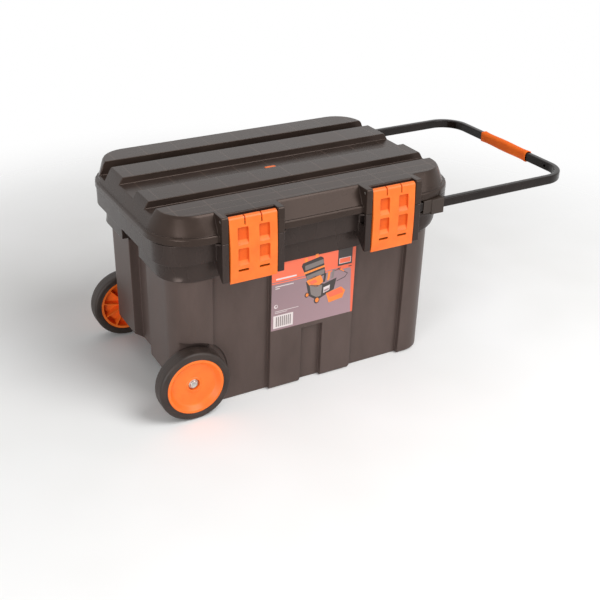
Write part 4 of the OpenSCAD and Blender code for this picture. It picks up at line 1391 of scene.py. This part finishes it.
@dataclass(frozen=True)
class PullHandle:
    """Bent rectangular tube with its grip sleeve.

    Attributes:
        library: Where the materials come from.
        sizes: Its sizes.
    """

    library: MaterialLibrary
    sizes: HandleSizes = HandleSizes()

    def build(self) -> None:
        """Builds the tube and the grip."""
        painted, soft = self.library.for_slot(Slot.TUBE), self.library.plain(GRIP_FINISH)
        dress(self._tube(painted), [painted], "handle", Slot.TUBE, "handle_tube")
        dress(self._grip(), [soft], "handle", Slot.ORANGE, "handle_grip")

    def _centre_line(self) -> Piece:
        """Four corners of the tube's centre line, as a straight open curve."""
        s = self.sizes
        far = s.outer_x - s.across / 2
        corners = [(s.inner_x, -s.arm_y), (far, -s.arm_y), (far, s.arm_y), (s.inner_x, s.arm_y)]
        data = bpy.data.curves.new("handle_tube_line", "CURVE")
        data.dimensions = "3D"
        line = data.splines.new("POLY")
        line.points.add(len(corners) - 1)
        for point, (x, y) in zip(line.points, corners):
            point.co = (x * MM, y * MM, s.height * MM, 1.0)
        return put_in_scene("handle_tube_skin", data)

    def _tube(self, painted: Material) -> Piece:
        """Rectangular tube bent along its centre line, with the hole in the end bar's inner face.

        Args:
            painted: Its material.

        Returns:
            The tube.
        """
        s = self.sizes
        tree = ShapeTree("bent_tube")
        bend = tree.size("Bend radius", s.bend * MM)
        across = tree.size("Tube width", s.across * MM)
        tall = tree.size("Tube height", s.tall * MM)
        corner = tree.size("Corner radius", s.corner * MM)
        turns = {"Curve": tree.shape, "Radius": bend, "Count": 28}
        path = tree.add("GeometryNodeFilletCurve", turns, mode="POLY")
        level = tree.add("GeometryNodeSetCurveNormal", {"Curve": path}, mode="Z_UP")
        section = tree.add("GeometryNodeCurvePrimitiveQuadrilateral", {"Width": across, "Height": tall})
        corners = {"Curve": section, "Radius": corner, "Count": 6}
        soft = tree.add("GeometryNodeFilletCurve", corners, mode="POLY")
        sweep = {"Curve": level, "Profile Curve": soft, "Fill Caps": False}
        tube = tree.bake(self._centre_line(), tree.add("GeometryNodeCurveToMesh", sweep), painted)
        close_up(tube)
        wall = tube.modifiers.new("wall", "SOLIDIFY")
        wall.thickness = s.wall * MM
        wall.offset = -1.0
        wall.use_even_offset = True
        tube = plain_mesh(tube)
        outline = ring(s.hole_r, s.hole_y, s.height)
        inner = s.outer_x - s.across
        tube = combine(tube, prism_x("handle_hole", outline, inner - 2.0, inner + s.wall + 1.5), "DIFFERENCE")
        tube.name = "handle_tube_skin"
        shade_smooth(tube, 40)
        return tube

    def _grip_growth(self, inside: bool, y: float) -> float:
        """How far the grip's skin stands off the tube.

        Args:
            inside: True for the inner skin.
            y: Distance from the grip's middle.

        Returns:
            The distance.
        """
        half = self.sizes.grip / 2
        depth = half - abs(y)
        nose = 1 - math.sqrt(max(1 - (1 - min(depth / 3.2, 1.0)) ** 2, 0.0))
        if inside:
            return 0.05 + 1.35 * (1 - smoothstep(1.0, 7.0, depth)) + 0.5 * nose
        waist = 0.35 * smoothstep(4.0, 10.0, depth) * (1 - smoothstep(40.0, 70.0, depth))
        return self.sizes.grip_wall - 0.55 * smoothstep(6.0, 26.0, depth) * (y / half) ** 2 - nose - waist

    def _grip(self) -> Piece:
        """Soft sleeve with thick rounded ends, open a little round the tube at both ends."""
        s = self.sizes
        x, half = s.outer_x - s.across / 2, s.grip / 2
        near = [-half + d for d in s.grip_rings]
        places = [*near, 0.0, *(-y for y in reversed(near))]
        verts = []
        for inside, radius in ((False, s.grip_round), (True, s.grip_inner_round)):
            for y in places:
                grow = self._grip_growth(inside, y)
                u, v = s.across / 2 + grow, s.tall / 2 + grow
                section = rounded(box(-u, -v, u, v), [radius] * 4, 7)
                verts += [(x + a, y, s.height + b) for a, b in section]
        rows, shift = len(places), len(verts) // 2
        count = shift // rows
        faces = grid_faces(rows, count, True) + grid_faces(rows, count, True, shift)
        for first in (0, shift - count):
            for a, b in ((first + i, first + (i + 1) % count) for i in range(count)):
                faces.append((a, b, shift + b, shift + a))
        return make_object("handle_grip_skin", verts, faces, 60)


# Printed film.


# An ink, the patches that lie below, the rounding of the corners, and the corners from the film's
# lower left one, in millimetres.
Patch = tuple[Ink, int, float, Sequence[Point2]]


class Label:
    """Printed film: two fields of colour, an open chest as a plain sign, and bars in place of words."""

    BACK = 0.03  # Depth of the lowest patch's back.
    THICK = 0.04  # Thickness of a patch.
    LEAN = 0.4  # Depth of the film beyond its lean.

    # Chest with its lid up, tools as plain blocks, its handle and wheels, and a small tote before it.
    SIGN: tuple[Patch, ...] = (
        (DARK_INK, 2, 3.0, ((64, 130), (102, 137), (108, 133), (114, 97), (78, 86), (62, 124))),
        (AMBER_INK, 3, 0, ((68, 131), (74, 132.2), (74, 140), (68, 139))),
        (AMBER_INK, 3, 0, ((91, 135.6), (97, 136.8), (97, 144.6), (91, 143.6))),
        (AMBER_INK, 3, 0, ((68, 106), (112, 113), (112.5, 117), (68, 110.5))),
        (GREY_INK, 3, 1.5, ((70, 114), (110, 121), (108, 130), (69, 124))),
        (GREY_INK, 3, 1.5, ((76, 92), (111, 99), (112, 109), (72, 102))),
        (DARK_INK, 2, 0, ((72, 90), (79, 58), (98, 45), (134, 60), (139, 84), (112, 77))),
        (GREY_INK, 3, 0, ((80, 82), (84, 60), (97, 51), (106, 53), (108, 75))),
        (AMBER_INK, 3, 2.0, ((73, 91), (90, 98), (104, 97), (110, 82), (97, 73), (80, 80))),
        (CORAL_INK, 4, 1.0, ((78, 88), (92, 91), (98, 84), (84, 81))),
        (DARK_INK, 4, 0, ((109, 80), (114, 81), (116, 99), (111, 98))),
        (AMBER_INK, 4, 0, ((118, 82.2), (123, 83.2), (125, 101.2), (120, 100.2))),
        (GREY_INK, 4, 0, ((127, 84.4), (132, 85.4), (134, 103.4), (129, 102.4))),
        (PALE_INK, 4, 0, ((111, 57), (124, 61), (125, 72), (111, 69))),
        (MAUVE_INK, 5, 0, ((112.5, 59), (122.5, 62), (123.3, 66), (112.5, 63.5))),
        (DARK_INK, 2, 0, (
            (132, 99), (143, 100), (162, 88), (157, 82), (139, 77),
            (139, 75.4), (158, 80.6), (163.6, 88.6), (143.5, 101.6), (132, 100.6),
        )),
        (AMBER_INK, 3, 0, ((145, 99.6), (154, 93.4), (155.6, 95.2), (146.5, 101.6))),
        (DARK_INK, 4, 0, ring(7.2, 97, 45, 0.85)),
        (AMBER_INK, 5, 0, ring(4.896, 97.8, 45, 0.8)),
        (DARK_INK, 4, 0, ring(5.4, 75, 61, 0.85)),
        (AMBER_INK, 5, 0, ring(3.672, 75.8, 61, 0.8)),
        (AMBER_INK, 4, 0, ((124, 33), (154, 37), (160, 52), (150, 62), (117, 55))),
        (CORAL_INK, 5, 0, ((119, 55), (126, 44), (156, 48), (150, 60))),
    )

    def __init__(self, library: MaterialLibrary) -> None:
        """Takes the film's place from the frame.

        Args:
            library: Where the materials come from.
        """
        self.library = library
        self.low, self.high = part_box("label")
        self.wide = (self.high.x - self.low.x) / MM
        self.tall = (self.high.z - self.low.z) / MM
        self.sheets: list[Piece] = []
        self.inks: list[Ink] = []
        self.index: list[int] = []

    def _sheet(self, outline: Sequence[Point2], layer: int) -> Piece:
        """A flat patch of ink on the film.

        Args:
            outline: Its corners.
            layer: How many patches lie below it.

        Returns:
            The patch.
        """
        low, high = self.low / MM, self.high / MM
        lean = (high.y - low.y - self.LEAN) / (high.z - low.z)
        back = self.BACK + self.THICK * layer
        sides = (
            [(low.x + u, high.y - v * lean - depth, low.z + v) for u, v in outline]
            for depth in (back + self.THICK, back)
        )
        return prism(f"film_patch_{len(self.sheets)}", *sides)

    def _keep(self, ink: Ink, sheet: Piece) -> None:
        """Takes in a printed patch and notes its ink.

        Args:
            ink: Its ink.
            sheet: The patch.
        """
        if ink not in self.inks:
            self.inks.append(ink)
        self.index += [self.inks.index(ink)] * len(sheet.data.polygons)
        self.sheets.append(sheet)

    def build(self) -> None:
        """Builds the film as one piece with a material for each ink."""
        for ink, layer, soft, outline in (*self._fields(), *self.SIGN, *self._bars()):
            shape = rounded(outline, [soft] * len(outline), 4) if soft else outline
            self._keep(ink, self._sheet(shape, layer))
        grey = self.library.film(GREY_INK, self.low, self.high)
        self._keep(GREY_INK, repeat(self._sheet(box(10.5, 8, 12.7, 29), 3), 8, grey, 4.2))
        film = join("label_film_skin", self.sheets)
        materials = [self.library.film(ink, self.low, self.high) for ink in self.inks]
        dress(film, materials, "tub", Slot.FILM, "label")
        film.data.polygons.foreach_set("material_index", self.index)

    def _fields(self) -> list[Patch]:
        """Coral ground with a mauve field below, and a dark block at the top right."""
        edge, split = 0.3, self.tall * 0.70
        w, top = self.wide, self.tall - edge
        slant = [(edge, edge), (w - 4.5, edge), (w - 9.0, split - 3), (w - 12.0, split), (edge, split)]
        return [
            (CORAL_INK, 0, 1.5, box(edge, edge, w - edge, top)),
            (MAUVE_INK, 1, 0, slant),
            (MAUVE_INK, 1, 0, box(edge, split + 2.2, w - 38, split + 4.2)),
            (DARK_INK, 1, 0, box(w - 39, split + 8, w - 7.5, top)),
            (PALE_INK, 2, 1.0, box(w - 36, split + 12, w - 10.5, split + 24)),
            (CORAL_INK, 3, 0.6, box(w - 35, split + 13, w - 11.5, split + 23)),
            *((DARK_INK, 2, 0, box(u, split + 2.4, u + 7, split + 4.2)) for u in (w - 39, w - 15)),
        ]

    def _bars(self) -> list[Patch]:
        """Pale bars where a printed film has its lines, a small sign, and the ground of a bar block."""
        h = self.tall
        lines = ((0.655, 38, 1.6), (0.625, 9, 1.6), (0.285, 50, 1.0), (0.262, 26, 1.0))
        return [
            (PALE_INK, 2, 1.0, box(9, h * 0.757, 52, h * 0.779)),
            *((PALE_INK, 2, 0.4, box(8, h * v, 8 + wide, h * v + thick)) for v, wide, thick in lines),
            (PALE_INK, 2, 0, ring(4.0, 10, h * 0.365)),
            (MAUVE_INK, 3, 0, ring(2.3, 10.6, h * 0.368)),
            (PALE_INK, 2, 0, box(5, 4.5, 47, 32)),
        ]


# Studio.


@dataclass(frozen=True)
class Lamp:
    """One soft box: its name, place, aim and width in metres, and its power in watts."""

    name: str
    place: Point3
    aim: Point3
    width: float
    power: float


@dataclass(frozen=True)
class Studio:
    """Camera, pale floor, backdrop and soft light.

    Attributes:
        azimuth: Of the photograph's camera, solved from its straight edges, in degrees.
        elevation: Of the camera, in degrees.
        roll: Of the camera, in degrees.
        distance: From the target, in millimetres.
        target: What the camera looks at, in millimetres.
        lens: Focal length on a sensor 36 mm wide.
        floor_half: Half the floor's width, in millimetres.
        floor_z: Just below the part, so that the two never share a face.
    """

    azimuth: float = -29.496
    elevation: float = 28.012
    roll: float = 1.091
    distance: float = 2071.5
    target: Point3 = (60.0, -16.44, 89.08)
    lens: float = 59.77
    floor_half: float = 6000.0
    floor_z: float = -0.6

    FADE = (0.7, 1.5)  # Where the floor starts to fade and where it is gone, in metres.
    SOFT = 0.38  # Strength of the backdrop as a light.

    # A key high at the front right, a weak one beside it, a faint top light, and a low fill from the
    # front left.
    LAMPS = (
        Lamp("key", (0.8, -1.6, 2.5), (0.05, 0.0, 0.2), 1.5, 50.0),
        Lamp("side", (1.4, -2.3, 1.3), (0.05, 0.0, 0.2), 1.2, 15.0),
        Lamp("top", (-0.2, 0.6, 2.7), (0.05, 0.0, 0.3), 2.0, 6.0),
        Lamp("fill", (-1.8, -1.6, 0.5), (-0.2, 0.1, 0.1), 1.0, 21.0),
    )

    def build(self) -> None:
        """Builds the whole studio."""
        self._camera()
        self._floor()
        self._world()
        for lamp in self.LAMPS:
            self._hang(lamp)
        bpy.context.scene.view_settings.view_transform = "Standard"

    def _camera(self) -> None:
        """Puts up the photograph's camera."""
        azimuth, elevation, roll = map(math.radians, (self.azimuth, self.elevation, self.roll))
        flat = Vector((math.sin(azimuth), -math.cos(azimuth), 0.0)) * math.cos(elevation)
        back = flat + Vector((0.0, 0.0, math.sin(elevation)))
        right = Vector((math.cos(azimuth), math.sin(azimuth), 0.0))
        up = back.cross(right)
        turned_right = right * math.cos(roll) + up * math.sin(roll)
        turned_up = up * math.cos(roll) - right * math.sin(roll)
        place = (Vector(self.target) + back * self.distance) * MM
        turn = Matrix((turned_right, turned_up, back)).transposed().to_4x4()
        data = bpy.data.cameras.new("camera")
        data.lens = self.lens
        data.sensor_width = 36.0
        data.sensor_fit = "HORIZONTAL"
        data.clip_start = 0.05
        camera = put_in_scene("camera", data)
        camera.matrix_world = Matrix.Translation(place) @ turn
        bpy.context.scene.camera = camera

    def _floor(self) -> None:
        """Pale paper that shows as white to the camera, keeps the shadow, and fades out far away."""
        corners = [(x, y, self.floor_z) for x, y in box(*[-self.floor_half] * 2, *[self.floor_half] * 2)]
        floor = make_object("floor", corners, [(0, 1, 2, 3)])
        material = bpy.data.materials.new("floor_paper")
        nodes = ShaderTree(material)
        place = nodes.add("ShaderNodeTexCoord").outputs["Object"]
        mottle = nodes.add("ShaderNodeTexNoise", {"Vector": place, "Scale": 3.0, "Detail": 2.0})
        share = nodes.add("ShaderNodeMapRange", (mottle, *NOISE_SPAN))
        matt = nodes.add("ShaderNodeBsdfDiffuse", {"Color": nodes.between(share, "f4f4f3", "fafafa")})
        clear = nodes.add("ShaderNodeBsdfTransparent")
        radius = nodes.add("ShaderNodeVectorMath", (place,), operation="LENGTH").outputs["Value"]
        fade = nodes.add("ShaderNodeMapRange", (radius, *self.FADE), interpolation_type="SMOOTHSTEP")
        nodes.add("ShaderNodeOutputMaterial", (nodes.add("ShaderNodeMixShader", (fade, matt, clear)),))
        floor.data.materials.append(material)

    def _world(self) -> None:
        """White to the camera and in reflections, soft grey as a light."""
        world = bpy.data.worlds.new("studio")
        bpy.context.scene.world = world
        nodes = ShaderTree(world)
        path = nodes.add("ShaderNodeLightPath").outputs
        seen = path["Is Camera Ray"]
        for ray in (path["Is Glossy Ray"], path["Is Transmission Ray"]):
            seen = nodes.add("ShaderNodeMath", (seen, ray), operation="MAXIMUM")
        white = nodes.add("ShaderNodeBackground", ((1.0, 1.0, 1.0, 1.0), 1.0))
        soft = nodes.add("ShaderNodeBackground", ((1.0, 0.99, 0.98, 1.0), self.SOFT))
        nodes.add("ShaderNodeOutputWorld", (nodes.add("ShaderNodeMixShader", (seen, soft, white)),))

    @staticmethod
    def _hang(lamp: Lamp) -> None:
        """Hangs one soft box.

        Args:
            lamp: What it is like.
        """
        data = bpy.data.lights.new(lamp.name, "AREA")
        data.shape = "SQUARE"
        data.size = lamp.width
        data.energy = lamp.power
        place = Vector(lamp.place)
        hung = put_in_scene(lamp.name, data)
        hung.location = place
        hung.rotation_euler = (Vector(lamp.aim) - place).to_track_quat("-Z", "Y").to_euler()


def main() -> None:
    """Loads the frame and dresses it."""
    logging.basicConfig(level=logging.INFO, format="%(name)s: %(message)s")
    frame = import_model()
    Studio().build()
    library = MaterialLibrary()
    CadPieces(frame["nodes"], library).build()
    for side in (-1, 1):
        Wheel(side, library).build()
        Latch(side, library).build()
    PullHandle(library).build()
    Label(library).build()


if __name__ == "__main__":
    main()
